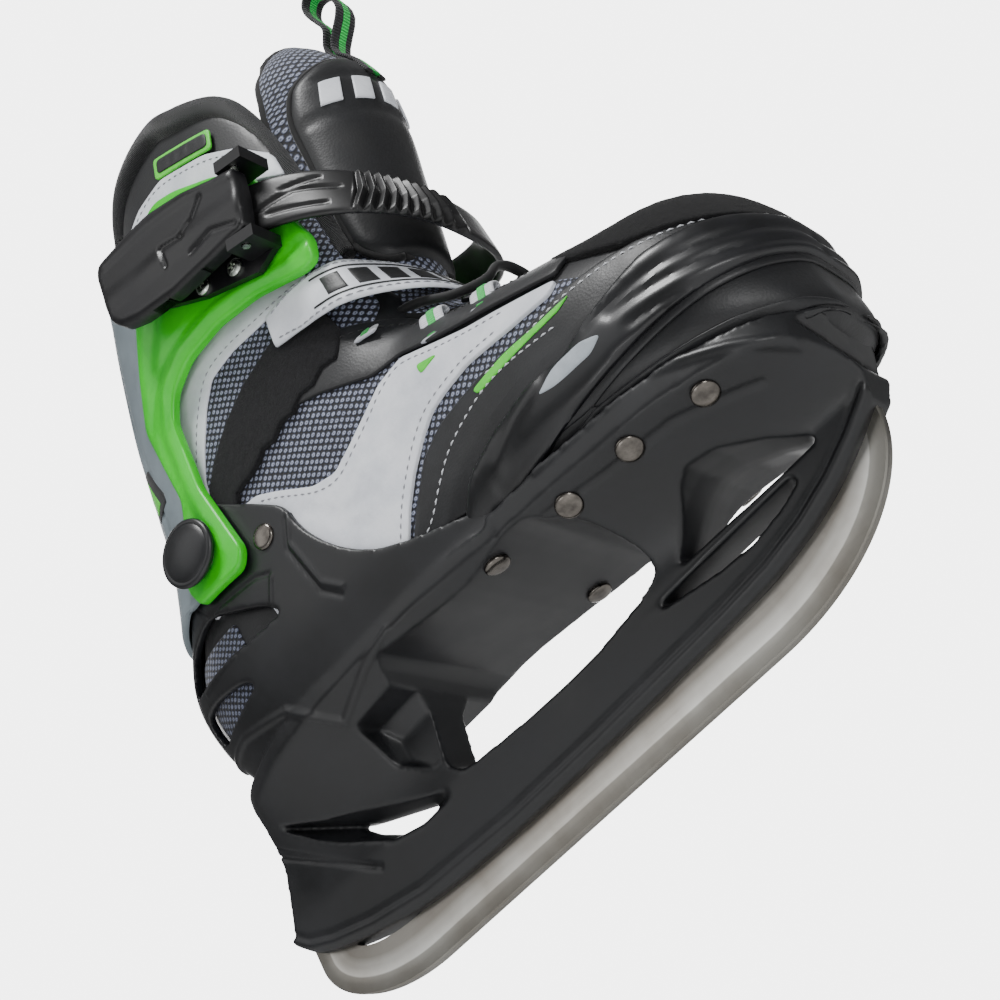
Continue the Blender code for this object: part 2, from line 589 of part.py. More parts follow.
def make_buckle(black, steel):
    """Ratchet buckle: base on the cuff frame, lever, pawl, pins and two screws."""
    along = LEVER_AXIS.cross(Vector((0, 1, 0)))
    base_face = side_surface(-10, 245, FRAME_OFFSET[1], CUFF_FRONT_POWER) + GAP
    plate = ((12, 250), (12, 259), (-6, 262), (-34, 266), (-40, 242), (-24, 230), (0, 217), (10, 219))
    base = prism("buckle_base", plate, -(base_face + 2.6), -base_face, black)
    for k, reach in enumerate((-16.2, 16.2)):
        centre = LEVER_PIVOT + LEVER_AXIS * reach
        centre.y = -(base_face + 7.2)
        lug = tilted_box("add_lug_{}".format(k), centre, along, (13.0, 14.0, 4.6))
        modify(base, "UNION", lug)
    pin_hole = turned("cut_pin_hole", [(-30, PIN_RADIUS + GAP), (30, PIN_RADIUS + GAP)],
                      LEVER_PIVOT, LEVER_AXIS, None, 16)
    modify(base, "DIFFERENCE", pin_hole)
    turned("lever_pin", [(-19.0, PIN_RADIUS), (19.0, PIN_RADIUS)], LEVER_PIVOT, LEVER_AXIS, steel, 16)

    lever = prism("buckle_lever", LEVER_OUTLINE, -60.5, -54.3, black)
    lever_hole = turned("cut_lever_hole", [(-30, PIN_RADIUS + GAP), (30, PIN_RADIUS + GAP)],
                        LEVER_PIVOT, LEVER_AXIS, None, 16)
    modify(lever, "DIFFERENCE", lever_hole)
    pocket_centre = LEVER_PIVOT + along * PAWL_REACH + Vector((0.0, 1.1, 0.0))
    modify(lever, "DIFFERENCE", tilted_box("cut_pawl_pocket", pocket_centre, along,
                                           (15.0, 4.4, 12.0)))
    pawl_pin = pocket_centre - along * 4.5 - Vector((0.0, 0.4, 0.0))
    pawl = tilted_box("buckle_pawl", pocket_centre - Vector((0.0, 0.2, 0.0)), along,
                      (11.5, 2.4, 11.0), black)
    bore = PAWL_PIN_RADIUS + GAP / 3
    modify(pawl, "DIFFERENCE",
           turned("cut_pawl_pin", [(-30, bore), (30, bore)], pawl_pin, LEVER_AXIS, None, 12))
    turned("pawl_pin", [(-5.7, PAWL_PIN_RADIUS), (5.7, PAWL_PIN_RADIUS)], pawl_pin, LEVER_AXIS, steel, 12)
    trim = tilted_box("cut_lever_top", LEVER_PIVOT + LEVER_AXIS * 26.2,
                      along, (26.0, 40.0, 27.0))
    modify(lever, "DIFFERENCE", trim)
    trim_low = tilted_box("cut_lever_low", LEVER_PIVOT - LEVER_AXIS * 26.2, along,
                          (26.0, 40.0, 27.0))
    modify(lever, "DIFFERENCE", trim_low)

    for number, (x, z) in enumerate(((-22.0, 237.3), (-7.0, 231.0)), 1):
        turned("buckle_screw_{}".format(number), [(0.0, 3.2), (0.9, 3.2), (1.5, 2.2)],
               (x, -(base_face + 2.6 + GAP), z - 4.0), (0, -1, 0), steel, 20)


def smooth_route(route, steps):
    """Points of a smooth curve through the route's own points."""
    points = []
    for k in range(len(route) - 1):
        before, low = Vector(route[max(k - 1, 0)]), Vector(route[k])
        high, after = Vector(route[k + 1]), Vector(route[min(k + 2, len(route) - 1)])
        for i in range(steps):
            t = i / steps
            points.append(0.5 * (2 * low + (high - before) * t
                                 + (2 * before - 5 * low + 4 * high - after) * t ** 2
                                 + (3 * low - before - 3 * high + after) * t ** 3))
    points.append(Vector(route[-1]))
    return points


def make_instep_strap(white):
    """Hook-and-loop strap over the instep, from the outer side to its sewn inner end."""
    route = ((-12, -39.9, 202), (0, -40.0, 200), (12, -39.7, 197), (22, -36.6, 193.5),
             (31, -25.5, 190), (37.5, -13.5, 186), (40, 0, 183.5), (37.5, 13.5, 184.5),
             (31, 25.5, 186), (22, 34.8, 188.5), (12, 37.9, 190), (0, 38.6, 190))
    points = smooth_route(route, 3)
    normals = []
    for point in points:
        side = point.y / 40
        top = math.sqrt(max(0.0, 1 - side * side))
        normals.append(Vector((0.55 * top + 0.08, side, 0.83 * top)).normalized())
    band("instep_strap", points, normals, lambda s: 21.0 - 7.0 * (1 - s) ** 6,
         1.8, white)


def foot_top(x, y):
    """Height of the foot's upper surface."""
    low, high, half = (read_table(FOOT, x, k) for k in (1, 2, 3))
    middle = low + 0.42 * (high - low)
    return middle + (high - middle) * max(0.0, 1 - abs(y / half) ** 2.3) ** (1 / 2.3)


def make_lacing(green, black):
    """Webbing eyelets along both sides of the throat, and the lace that they guide."""
    for side, sign in (("outer", -1), ("inner", 1)):
        for number, (x, low) in enumerate(((56.0, 0.0), (36.0, 0.0), (15.0, 176.0)), 1):
            points = [Vector((x, sign * y, max(foot_top(x, y), low) + WEBBING_LIFT))
                      for y in (31.0, 28.5, 26.0, 23.0)]
            normals = [Vector((0.2, sign * 0.5, 0.8))] * len(points)
            band("lace_eyelet_{}_{}".format(side, number), points, normals, 8.0, 1.4, green)
    edge = [(13, 19.0, 181.5), (22, 19.0, 182.0), (32, 19.0, 178.0)]
    edge += [(x, 19.0, foot_top(x, 19.0) + LACE_LIFT) for x in (43, 52)]
    turn = [(57.5, 17.0, 164.0), (60.0, 12.0, 169.0), (61.0, 6.0, 171.3)]
    half = edge + turn
    route = ([(x, -y, z) for x, y, z in half] + [(61.2, 0.0, 171.8)] + half[::-1])
    points = smooth_route(route, 3)
    curve = bpy.data.curves.new("lace", "CURVE")
    curve.dimensions = "3D"
    curve.bevel_depth = LACE_RADIUS * MM
    curve.bevel_resolution = 2
    curve.use_fill_caps = True
    spline = curve.splines.new("POLY")
    spline.points.add(len(points) - 1)
    for knot, point in zip(spline.points, points):
        knot.co = (*(point * MM), 1.0)
    curve.materials.append(black)
    bpy.context.scene.collection.objects.link(bpy.data.objects.new("lace", curve))


def make_pull_loop(green):
    """Webbing pull loop standing on the tongue's top."""
    outer, inner = [], []
    for i in range(17):
        angle = math.radians(-60 + 300 * i / 16)
        outer.append((6.2 * math.cos(angle), 9.0 * math.sin(angle)))
        inner.append((4.2 * math.cos(angle), 7.0 * math.sin(angle)))
    outline = [(-1.4, -46.0), (1.4, -46.0)] + outer
    centre = (56.7, 337.0)
    tilt = Matrix.Rotation(math.radians(-8), 2)
    place = [tuple(Vector(centre) + tilt @ Vector(p)) for p in outline]
    hole = [tuple(Vector(centre) + tilt @ Vector(p)) for p in inner]
    loop = prism("pull_loop", place, -5.5, 5.5, green)
    modify(loop, "DIFFERENCE", prism("cut_pull_loop", hole, -9.0, 9.0))


def main():
    clear_scene()
    black = finish_material("black_nylon", "2A2A2E", 0.42)
    gloss = finish_material("gloss_black_rubber", "1B1B1F", 0.3)
    steel = finish_material("brushed_steel", "A8A6A2", 0.32, 1.0)
    grey = finish_material("grey_plastic", "7F8A90", 0.4)
    green = finish_material("green_plastic", "46D23C", 0.35)
    white = finish_material("white_coated_fabric", "D8DAE0", 0.5)
    mesh_black = finish_material("black_mesh_fabric", "2B2D3A", 0.85)
    board_grey = finish_material("grey_board", "6B6B6B", 0.8)
    foam = finish_material("foam_fabric", "33363C", 0.9)

    make_runner(steel)
    holder = make_holder(black)
    make_sole_rivets(holder, steel)
    make_heel_cage(black)
    make_boot_foot(white)
    make_collar(white)
    make_tongue_upper(mesh_black)
    make_tongue_lower(mesh_black)
    make_toe_shell(gloss)
    make_toe_cap(mesh_black)
    make_insoles(board_grey, foam)
    make_cuff(grey, green)
    make_pivots(steel, black)
    make_ladder_strap(black, steel)
    make_buckle(black, steel)
    make_instep_strap(white)
    make_lacing(green, mesh_black)
    make_pull_loop(green)


main()
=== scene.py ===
"""Recreational soft-boot ice skate: its looks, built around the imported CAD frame.

Lengths are millimetres until a mesh is made. +X points to the toe, -Y to the outer side with the
buckle, +Z up, and the origin is on the flat middle of the runner's lower edge.
"""
import math

import bmesh
import bpy
import numpy as np
from mathutils import Matrix, Vector
from mathutils.bvhtree import BVHTree
from mathutils.geometry import delaunay_2d_cdt


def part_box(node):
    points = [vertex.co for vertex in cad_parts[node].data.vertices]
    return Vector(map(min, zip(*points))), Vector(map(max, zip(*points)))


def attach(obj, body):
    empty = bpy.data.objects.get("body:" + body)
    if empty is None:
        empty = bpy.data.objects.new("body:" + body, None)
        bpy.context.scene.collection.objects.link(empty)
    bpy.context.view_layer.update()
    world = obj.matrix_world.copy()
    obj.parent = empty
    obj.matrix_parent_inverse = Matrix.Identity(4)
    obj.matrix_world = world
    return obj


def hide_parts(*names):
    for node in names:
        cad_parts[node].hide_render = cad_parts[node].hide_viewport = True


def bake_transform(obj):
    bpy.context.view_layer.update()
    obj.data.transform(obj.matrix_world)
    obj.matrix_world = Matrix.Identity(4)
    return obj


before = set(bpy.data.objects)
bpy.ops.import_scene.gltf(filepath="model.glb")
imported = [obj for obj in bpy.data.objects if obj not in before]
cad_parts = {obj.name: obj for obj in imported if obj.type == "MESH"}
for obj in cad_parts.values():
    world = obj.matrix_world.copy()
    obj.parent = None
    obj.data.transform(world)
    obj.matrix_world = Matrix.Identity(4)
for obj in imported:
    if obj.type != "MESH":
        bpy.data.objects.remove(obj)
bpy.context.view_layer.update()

MM = 0.001
OUTER, INNER = -1, 1

# Foot sections: x, underside z, top z, half width
FOOT = (
    (-20, 86, 205, 34.5), (0, 84, 196, 34.5), (20, 81, 182, 36.5), (40, 79, 168, 39.0),
    (60, 76, 157, 42.0), (80, 73, 148, 43.5), (100, 69, 140, 43.0), (115, 66, 136, 40.5),
    (127, 63.5, 130, 34.5), (136, 62.5, 120, 26.0), (142, 65, 106, 15.0),
)
# Leg and heel sections: z, rear x, front x, half width
LEG = (
    (86, -115, 60, 32.5), (105, -123, 56, 35.5), (128, -125, 54, 36.5), (150, -114, 48, 36.5),
    (175, -104, 31, 36.5), (200, -100, 36, 36.5), (225, -97, 41, 36.5), (250, -91, 43, 37.0),
    (275, -84, 43, 37.0), (300, -76, 42, 36.5), (330, -62, 40, 35.0),
)
# Blade holder: lower edge, then half width at the sole
HOLDER_LOW = (
    (-139, 37), (-132, 30), (-122, 25.5), (-105, 20.5), (-81, 16), (-40, 14), (0, 14.5),
    (56, 16.5), (75, 18), (91, 21), (105, 25.5), (117, 31), (129, 38),
)
HOLDER_WIDTH = (
    (-125, 15), (-118, 21), (-110, 25.5), (-95, 31), (-70, 35), (-40, 36), (0, 36.2),
    (30, 37.5), (60, 39.5), (80, 41.2), (100, 40.3), (115, 37), (127, 30), (137, 15),
)
REAR_POWER, CUFF_POWER = 2.8, 7.0


# ---------------------------------------------------------------- shapes of the foot and leg

def read_table(table, at, column=1):
    """Smooth value between the rows of a table whose first column rises."""
    at = min(max(at, table[0][0]), table[-1][0])
    k = max(i for i, row in enumerate(table[:-1]) if row[0] <= at)
    low, high = table[k], table[k + 1]
    before, after = table[max(k - 1, 0)], table[min(k + 2, len(table) - 1)]
    span = high[0] - low[0]
    t = (at - low[0]) / span
    rise_low = (high[column] - before[column]) / (high[0] - before[0]) * span
    rise_high = (after[column] - low[column]) / (after[0] - low[0]) * span
    return (low[column] * (2 * t**3 - 3 * t**2 + 1) + rise_low * (t**3 - 2 * t**2 + t)
            + high[column] * (3 * t**2 - 2 * t**3) + rise_high * (t**3 - t**2))


def signed_power(value, power):
    return math.copysign(abs(value) ** power, value)


def leg_point(angle, z, grow, front_power=REAR_POWER):
    """Point of the leg's section at a height: angle 0 is the front, -90 the outer side, 180 the rear."""
    rear, front, half = (read_table(LEG, z, k) for k in (1, 2, 3))
    cos, sin = math.cos(math.radians(angle)), math.sin(math.radians(angle))
    power = 2 / (front_power if cos > 0 else REAR_POWER)
    return Vector(((rear + front) / 2 + ((front - rear) / 2 + grow) * signed_power(cos, power),
                   (half + grow) * signed_power(sin, power), z))


def leg_angle(x, z, grow, side):
    """The section angle at which the leg's side has a given x."""
    rear, front = (read_table(LEG, z, k) for k in (1, 2))
    share = (x - (rear + front) / 2) / ((front - rear) / 2 + grow)
    share = min(max(share, -1.0), 1.0)
    power = REAR_POWER if share < 0 else CUFF_POWER
    return side * math.degrees(math.acos(signed_power(share, power / 2)))


def leg_half(x, z, grow, front_power=REAR_POWER):
    """Half width of the leg at a point of its side."""
    rear, front, half = (read_table(LEG, z, k) for k in (1, 2, 3))
    centre, length = (rear + front) / 2, (front - rear) / 2 + grow
    power = front_power if x > centre else REAR_POWER
    return (half + grow) * max(0.0, 1 - abs((x - centre) / length) ** power) ** (1 / power)


def foot_point(x, angle, grow):
    """Point of the foot's upright section: angle -90 is the sole, 0 the outer side, 90 the top."""
    low, high, half = (read_table(FOOT, x, k) for k in (1, 2, 3))
    middle = low + 0.42 * (high - low)
    shift = 3.5 * max(0.0, (x - 40) / 100) ** 2
    up, out = math.sin(math.radians(angle)), math.cos(math.radians(angle))
    power = 2 / 2.3 if up > 0 else 2 / 4.5
    height = (high - middle if up > 0 else middle - low) + grow
    return Vector((x + grow * max(0.0, (x - 100) / 42), shift - (half + grow) * signed_power(out, power),
                   middle + height * signed_power(up, power)))


def sole_height(x):
    return read_table(FOOT, x, 1) if x > -20 else 86.0


# ---------------------------------------------------------------- mesh tools

def to_object(name, points, faces, material=None, uv=None):
    """Mesh object from points in millimetres; uv holds one flat place per point, also millimetres."""
    mesh = bpy.data.meshes.new(name)
    mesh.from_pydata([tuple(Vector(p) * MM) for p in points], [], faces)
    if uv is not None:
        layer = mesh.uv_layers.new(name="flat")
        for loop in mesh.loops:
            layer.data[loop.index].uv = Vector(uv[loop.vertex_index]) * MM
    mesh.validate()
    mesh.shade_smooth()
    item = bpy.data.objects.new(name, mesh)
    bpy.context.scene.collection.objects.link(item)
    if material:
        mesh.materials.append(material)
    return item


def face_outwards(item):
    bm = bmesh.new()
    bm.from_mesh(item.data)
    bmesh.ops.recalc_face_normals(bm, faces=bm.faces)
    bm.to_mesh(item.data)
    bm.free()
    return item


def loft(name, rings, material=None):
    """Body through rings of equal point counts, capped at both ends."""
    count = len(rings[0])
    points = [p for ring in rings for p in ring]
    faces = []
    for a in range(0, len(points) - count, count):
        faces += [(a + i, a + (i + 1) % count, a + count + (i + 1) % count, a + count + i)
                  for i in range(count)]
    faces += [tuple(range(count))[::-1], tuple(range(len(points) - count, len(points)))]
    return face_outwards(to_object(name, points, faces, material))


def prism(name, outline, y_low, y_high):
    return loft(name, [[(x, y, z) for x, z in outline] for y in (y_low, y_high)])


def mount(item, body, slot, *replaced):
    """A rigid piece rides one body and stands for its CAD nodes, which it hides. The slot is not used."""
    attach(item, body)
    if replaced:
        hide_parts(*replaced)
    return item


def bake(item):
    """Apply the object's modifiers."""
    graph = bpy.context.evaluated_depsgraph_get()
    baked = bpy.data.meshes.new_from_object(item.evaluated_get(graph))
    item.modifiers.clear()
    item.data = baked
    return item


def cut(item, tool, operation="DIFFERENCE"):
    """Boolean with a tool that is thrown away."""
    step = item.modifiers.new("cut", "BOOLEAN")
    step.operation = operation
    step.solver = "EXACT"
    step.object = tool
    bake(item)
    bpy.data.objects.remove(tool, do_unlink=True)
    return item


def merge_and_smooth(name, items, material, voxel, rounds):
    """Fuse overlapping bodies into one skin with soft edges, as a moulding has."""
    bm = bmesh.new()
    for item in items:
        bm.from_mesh(item.data)
        bpy.data.objects.remove(item, do_unlink=True)
    mesh = bpy.data.meshes.new(name)
    bm.to_mesh(mesh)
    bm.free()
    item = bpy.data.objects.new(name, mesh)
    bpy.context.scene.collection.objects.link(item)
    step = item.modifiers.new("skin", "REMESH")
    step.mode = "VOXEL"
    step.voxel_size = voxel * MM
    soften = item.modifiers.new("soften", "SMOOTH")
    soften.factor = 0.5
    soften.iterations = rounds
    bake(item)
    item.data.materials.clear()
    item.data.materials.append(material)
    item.data.shade_smooth()
    return item


def coordinates(item):
    points = np.empty(len(item.data.vertices) * 3)
    item.data.vertices.foreach_get("co", points)
    return points.reshape(-1, 3) / MM


def distance_to_line(points, line):
    """Distance of each point to a polyline, in as many dimensions as the line has."""
    line = np.array(line, float)
    nearest = np.full(len(points), 1e9)
    for a, b in zip(line, line[1:]):
        along = b - a
        t = np.clip((points - a) @ along / max(along @ along, 1e-9), 0, 1)
        nearest = np.minimum(nearest, np.linalg.norm(points - a - t[:, None] * along, axis=1))
    return nearest


def engrave(item, lines, y_low=None):
    """Move the skin along its normals near lines in the XZ plane: (line, half width, height)."""
    points = coordinates(item)
    normals = np.array([v.normal for v in item.data.vertices])
    move = np.zeros(len(points))
    for line, width, height in lines:
        distance = distance_to_line(points[:, [0, 2]], line)
        move += height * np.clip(1 - (distance / width) ** 2, 0, 1) ** 2
    if y_low is not None:
        move *= np.abs(points[:, 1]) > y_low
    points += normals * (move * (np.abs(normals[:, 1]) > 0.25))[:, None]
    item.data.vertices.foreach_set("co", (points * MM).ravel())
    item.data.update()
    return item


def smooth_line(line, steps=4, closed=False):
    """Points of a smooth curve through the line's own points."""
    count = len(line)
    points = []
    for k in range(count if closed else count - 1):
        picks = [(k + j) % count if closed else min(max(k + j, 0), count - 1) for j in (-1, 0, 1, 2)]
        a, b, c, d = (np.array(line[i], float) for i in picks)
        for i in range(steps):
            t = i / steps
            points.append(0.5 * (2 * b + (c - a) * t + (2 * a - 5 * b + 4 * c - d) * t**2
                                 + (3 * b - a - 3 * c + d) * t**3))
    if not closed:
        points.append(np.array(line[-1], float))
    return points


def round_corners(outline, radius, steps=4):
    """Closed outline with its corners rounded and its straight sides kept."""
    rounded = []
    count = len(outline)
    for i in range(count):
        before, here, after = (np.array(outline[(i + k) % count], float) for k in (-1, 0, 1))
        to_before, to_after = before - here, after - here
        reach_before, reach_after = np.linalg.norm(to_before), np.linalg.norm(to_after)
        start = here + to_before / reach_before * min(radius, reach_before * 0.45)
        end = here + to_after / reach_after * min(radius, reach_after * 0.45)
        for k in range(steps + 1):
            t = k / steps
            rounded.append((1 - t)**2 * start + 2 * t * (1 - t) * here + t**2 * end)
    return rounded


def resample(outline, step):
    """Closed outline with points no further apart than a step."""
    points = []
    for a, b in zip(outline, list(outline[1:]) + [outline[0]]):
        a, b = np.array(a, float), np.array(b, float)
        pieces = max(1, math.ceil(np.linalg.norm(b - a) / step))
        points += [a + (b - a) * i / pieces for i in range(pieces)]
    return points


def inside(points, outline):
    """Whether each flat point lies inside a closed outline."""
    found = np.zeros(len(points), bool)
    for a, b in zip(outline, list(outline[1:]) + [outline[0]]):
        crosses = (a[1] > points[:, 1]) != (b[1] > points[:, 1])
        edge_x = a[0] + (points[:, 1] - a[1]) * (b[0] - a[0]) / ((b[1] - a[1]) or 1e-12)
        found ^= crosses & (points[:, 0] < edge_x)
    return found


def flat_mesh(outline, step, rim):
    """Triangles that fill an outline, and each point's distance to its rim."""
    loop = resample(list(outline), min(step, 2.0))
    edges = [(i, (i + 1) % len(loop)) for i in range(len(loop))]
    low, high = np.min(loop, axis=0), np.max(loop, axis=0)
    grid = [(x + (row % 2) * step / 2, y)
            for row, y in enumerate(np.arange(low[1], high[1], step * 0.87))
            for x in np.arange(low[0], high[0], step)]
    ring = np.array(loop)
    turn = np.roll(ring, -1, 0) - np.roll(ring, 1, 0)
    turn /= np.maximum(np.linalg.norm(turn, axis=1), 1e-9)[:, None]
    across = np.stack([-turn[:, 1], turn[:, 0]], 1)
    rows = [ring + across * sign * rim * share for sign in (-1, 1) for share in (0.3, 1.0)]
    boundary = list(loop) + [loop[0]]
    kept = []
    for candidates, least in [(np.array(grid), rim + step * 0.45)] + [(row, rim * 0.27) for row in rows]:
        clear = (distance_to_line(candidates, boundary) >= least) & inside(candidates, loop)
        kept += [tuple(p) for p in candidates[clear]]
    points = [Vector(p) for p in loop + kept]
    flat, _, faces, *_ = delaunay_2d_cdt(points, edges, [], 0, 1e-5)
    flat = np.array([tuple(p) for p in flat])
    wanted = inside(np.array([flat[list(face)].mean(0) for face in faces]), loop)
    faces = [tuple(face) for face, keep in zip(faces, wanted) if keep]
    return flat, faces, distance_to_line(flat, boundary)


def plate(name, outline, place, low, high, material, rim=1.0, step=2.5, lines=()):
    """Closed plate that follows a surface: place(u, v, height) gives its points, rim rounds its edge.

    Lines raise or sink its face: (flat line, half width, height)."""
    flat, faces, rim_distance = flat_mesh(outline, step, rim)
    rounding = np.sqrt(np.clip(1 - (1 - np.clip(rim_distance / rim, 0, 1)) ** 2, 0, 1))
    heights = high - rim * 0.8 * (1 - rounding)
    for line, width, height in lines:
        heights = heights + height * np.clip(1 - (distance_to_line(flat, line) / width) ** 2, 0, 1) ** 2
    count = len(flat)
    points = [place(u, v, h) for (u, v), h in zip(flat, heights)]
    points += [place(u, v, low) for u, v in flat]
    seen = {}
    for face in faces:
        for a, b in zip(face, face[1:] + face[:1]):
            key = (min(a, b), max(a, b))
            seen[key] = None if key in seen else (a, b)
    walls = [(a, a + count, b + count, b) for edge in seen.values() if edge for a, b in [edge]]
    faces = faces + [tuple(i + count for i in reversed(face)) for face in faces] + walls
    item = to_object(name, points, faces, material, uv=list(flat) * 2)
    item.data.set_sharp_from_angle(angle=math.radians(50))
    return face_outwards(item)


def tube(name, path, radius, material, sides=8, squash=1.0):
    """Round rod along a path of points, thinner at its ends if radius is a function of the share."""
    rings = []
    last = len(path) - 1
    for i, point in enumerate(path):
        along = (Vector(path[min(i + 1, last)]) - Vector(path[max(i - 1, 0)])).normalized()
        out = along.cross(Vector((0, 0, 1))).cross(along)
        if out.length < 0.1:
            out = Vector((1, 0, 0))
        out.normalize()
        side = along.cross(out)
        size = radius(i / last) if callable(radius) else radius
        rings.append([Vector(point) + side * size * math.cos(2 * math.pi * k / sides)
                      + out * size * squash * math.sin(2 * math.pi * k / sides) for k in range(sides)])
    return loft(name, rings, material)


def dashes(line, place, pitch, length):
    """Start and end of each stitch along a flat line on a surface."""
    line = [np.array(p, float) for p in line]
    reach = np.cumsum([0] + [np.linalg.norm(b - a) for a, b in zip(line, line[1:])])
    at = lambda s: [np.interp(s, reach, [p[k] for p in line]) for k in (0, 1)]
    starts = np.arange(pitch * 0.3, reach[-1] - length, pitch)
    return [(at(s), at(s + length / 2), at(s + length)) for s in starts]


def stitching(name, lines, place, material, pitch=3.2, length=2.2, radius=0.32, height=0.15):
    """Rows of thread stitches, each a low rounded bar that dips into the fabric at its ends."""
    points, faces = [], []
    sides = 5
    for line in lines:
        for spots in dashes(line, place, pitch, length):
            spine = [place(*spot, h) for spot, h in zip(spots, (-0.3 * radius, height, -0.3 * radius))]
            along = (spine[2] - spine[0]).normalized()
            out = (place(*spots[1], 1.0) - place(*spots[1], 0.0)).normalized()
            side = along.cross(out).normalized()
            for centre, size in zip(spine, (0.45, 1.0, 0.45)):
                points += [centre + (side * math.cos(2 * math.pi * k / sides)
                                     + out * math.sin(2 * math.pi * k / sides)) * radius * size
                           for k in range(sides)]
            base = len(points) - 3 * sides
            for row in (0, 1):
                a, b = base + row * sides, base + (row + 1) * sides
                faces += [(a + k, a + (k + 1) % sides, b + (k + 1) % sides, b + k) for k in range(sides)]
            faces += [tuple(range(base, base + sides))[::-1],
                      tuple(range(base + 2 * sides, base + 3 * sides))]
    return face_outwards(to_object(name, points, faces, material))


def ribbon(name, path, normals, width, thickness, material, crown=0.0, ribs=None, columns=10):
    """Flat strap along a path, with rounded edges. width may depend on the share of the length.
    ribs(share, across) adds height to its outer face."""
    rings, flat = [], []
    last = len(path) - 1
    reach = 0.0
    for i, (point, normal) in enumerate(zip(path, normals)):
        here, normal = Vector(point), Vector(normal)
        along = (Vector(path[min(i + 1, last)]) - Vector(path[max(i - 1, 0)])).normalized()
        out = (normal - along * normal.dot(along)).normalized()
        across = along.cross(out)
        reach += (here - Vector(path[max(i - 1, 0)])).length
        wide = width(i / last) if callable(width) else width
        ring, places = [], []
        for k in range(columns + 1):
            s = -1 + 2 * k / columns
            edge = math.sqrt(max(0.0, 1 - abs(s) ** 8))
            height = thickness / 2 * (0.35 + 0.65 * edge) + crown * (1 - s * s)
            if ribs:
                height += ribs(i / last, s) * edge
            ring.append(here + across * (s * wide / 2) + out * height)
            places.append((reach, s * wide / 2))
        for k in range(columns, -1, -1):
            s = -1 + 2 * k / columns
            edge = math.sqrt(max(0.0, 1 - abs(s) ** 8))
            ring.append(here + across * (s * wide / 2) - out * (thickness / 2 * (0.35 + 0.65 * edge)
                                                                - crown * (1 - s * s)))
            places.append((reach, s * wide / 2))
        rings.append(ring)
        flat += places
    item = loft(name, rings, material)
    layer = item.data.uv_layers.new(name="flat")
    for loop in item.data.loops:
        layer.data[loop.index].uv = Vector(flat[loop.vertex_index]) * MM
    return item


# ---------------------------------------------------------------- finishes

def linear(hex_colour):
    """Linear RGBA of an sRGB hex colour."""
    channels = [int(hex_colour[i:i + 2], 16) / 255 for i in (0, 2, 4)]
    return (*(c / 12.92 if c <= 0.04045 else ((c + 0.055) / 1.055) ** 2.4 for c in channels), 1.0)


def add_node(tree, kind, sockets, stops=(), **settings):
    """Adds a shader node: its settings, its sockets' values or links, and a colour ramp's stops."""
    node = tree.nodes.new("ShaderNode" + kind)
    for name, value in settings.items():
        setattr(node, name, value)
    for key, value in sockets.items():
        if isinstance(value, bpy.types.NodeSocket):
            tree.links.new(value, node.inputs[key])
        else:
            node.inputs[key].default_value = value
    for i, (position, hex_colour) in enumerate(stops):
        ramp = node.color_ramp.elements
        stop = ramp[i] if i < len(ramp) else ramp.new(position)
        stop.position, stop.color = position, linear(hex_colour)
    return node


def new_finish(name, sockets):
    """A material whose shader sockets are set, with its node tree and shader."""
    material = bpy.data.materials.new(name)
    material.use_nodes = True
    tree = material.node_tree
    shader = tree.nodes["Principled BSDF"]
    for key, value in sockets.items():
        shader.inputs[key].default_value = value
    return material, tree, shader


def wire(tree, shader, colour=None, roughness=None, height=None, depth=0.1):
    """Link colour, roughness and bump height (depth in millimetres) into the shader."""
    if colour:
        tree.links.new(colour, shader.inputs["Base Color"])
    if roughness:
        tree.links.new(roughness, shader.inputs["Roughness"])
    if height:
        bump = add_node(tree, "Bump", {"Height": height, "Strength": 1.0, "Distance": depth * MM})
        tree.links.new(bump.outputs["Normal"], shader.inputs["Normal"])


def moulded(name, dark, light, gloss_low, gloss_high, coat=0.0):
    """Injection moulding: flow and handling leave the tone and gloss a little uneven over 25 mm,
    and the tool's spark-eroded skin, 0.35 mm across, breaks up the highlights."""
    material, tree, shader = new_finish(name, {"IOR": 1.49, "Coat Weight": coat, "Coat Roughness": 0.12})
    place = add_node(tree, "TexCoord", {}).outputs["Object"]
    cloud = add_node(tree, "TexNoise", {"Vector": place, "Scale": 1 / (25 * MM), "Detail": 5.0,
                                        "Roughness": 0.6}).outputs["Fac"]
    tone = add_node(tree, "ValToRGB", {"Fac": cloud}, stops=((0.35, dark), (0.68, light)))
    gloss = add_node(tree, "MapRange", {"Value": cloud, "From Min": 0.3, "From Max": 0.7,
                                        "To Min": gloss_low, "To Max": gloss_high})
    skin = add_node(tree, "TexNoise", {"Vector": place, "Scale": 1 / (0.35 * MM), "Detail": 2.0})
    wire(tree, shader, tone.outputs["Color"], gloss.outputs["Result"], skin.outputs["Fac"], 0.012)
    return material


def coated_leather(name, dark, light, gloss):
    """Polyurethane-coated fabric: pebbles 0.9 mm across, and soft grey handling marks over 18 mm."""
    material, tree, shader = new_finish(name, {"IOR": 1.46, "Sheen Weight": 0.08})
    place = add_node(tree, "TexCoord", {}).outputs["Object"]
    pebble = add_node(tree, "TexVoronoi", {"Vector": place, "Scale": 1 / (0.9 * MM)})
    marks = add_node(tree, "TexNoise", {"Vector": place, "Scale": 1 / (18 * MM), "Detail": 6.0,
                                        "Roughness": 0.65}).outputs["Fac"]
    tone = add_node(tree, "ValToRGB", {"Fac": marks}, stops=((0.3, dark), (0.6, light)))
    rough = add_node(tree, "MapRange", {"Value": marks, "From Min": 0.3, "From Max": 0.7,
                                        "To Min": gloss + 0.08, "To Max": gloss - 0.05})
    wire(tree, shader, tone.outputs["Color"], rough.outputs["Result"], pebble.outputs["Distance"], 0.03)
    return material


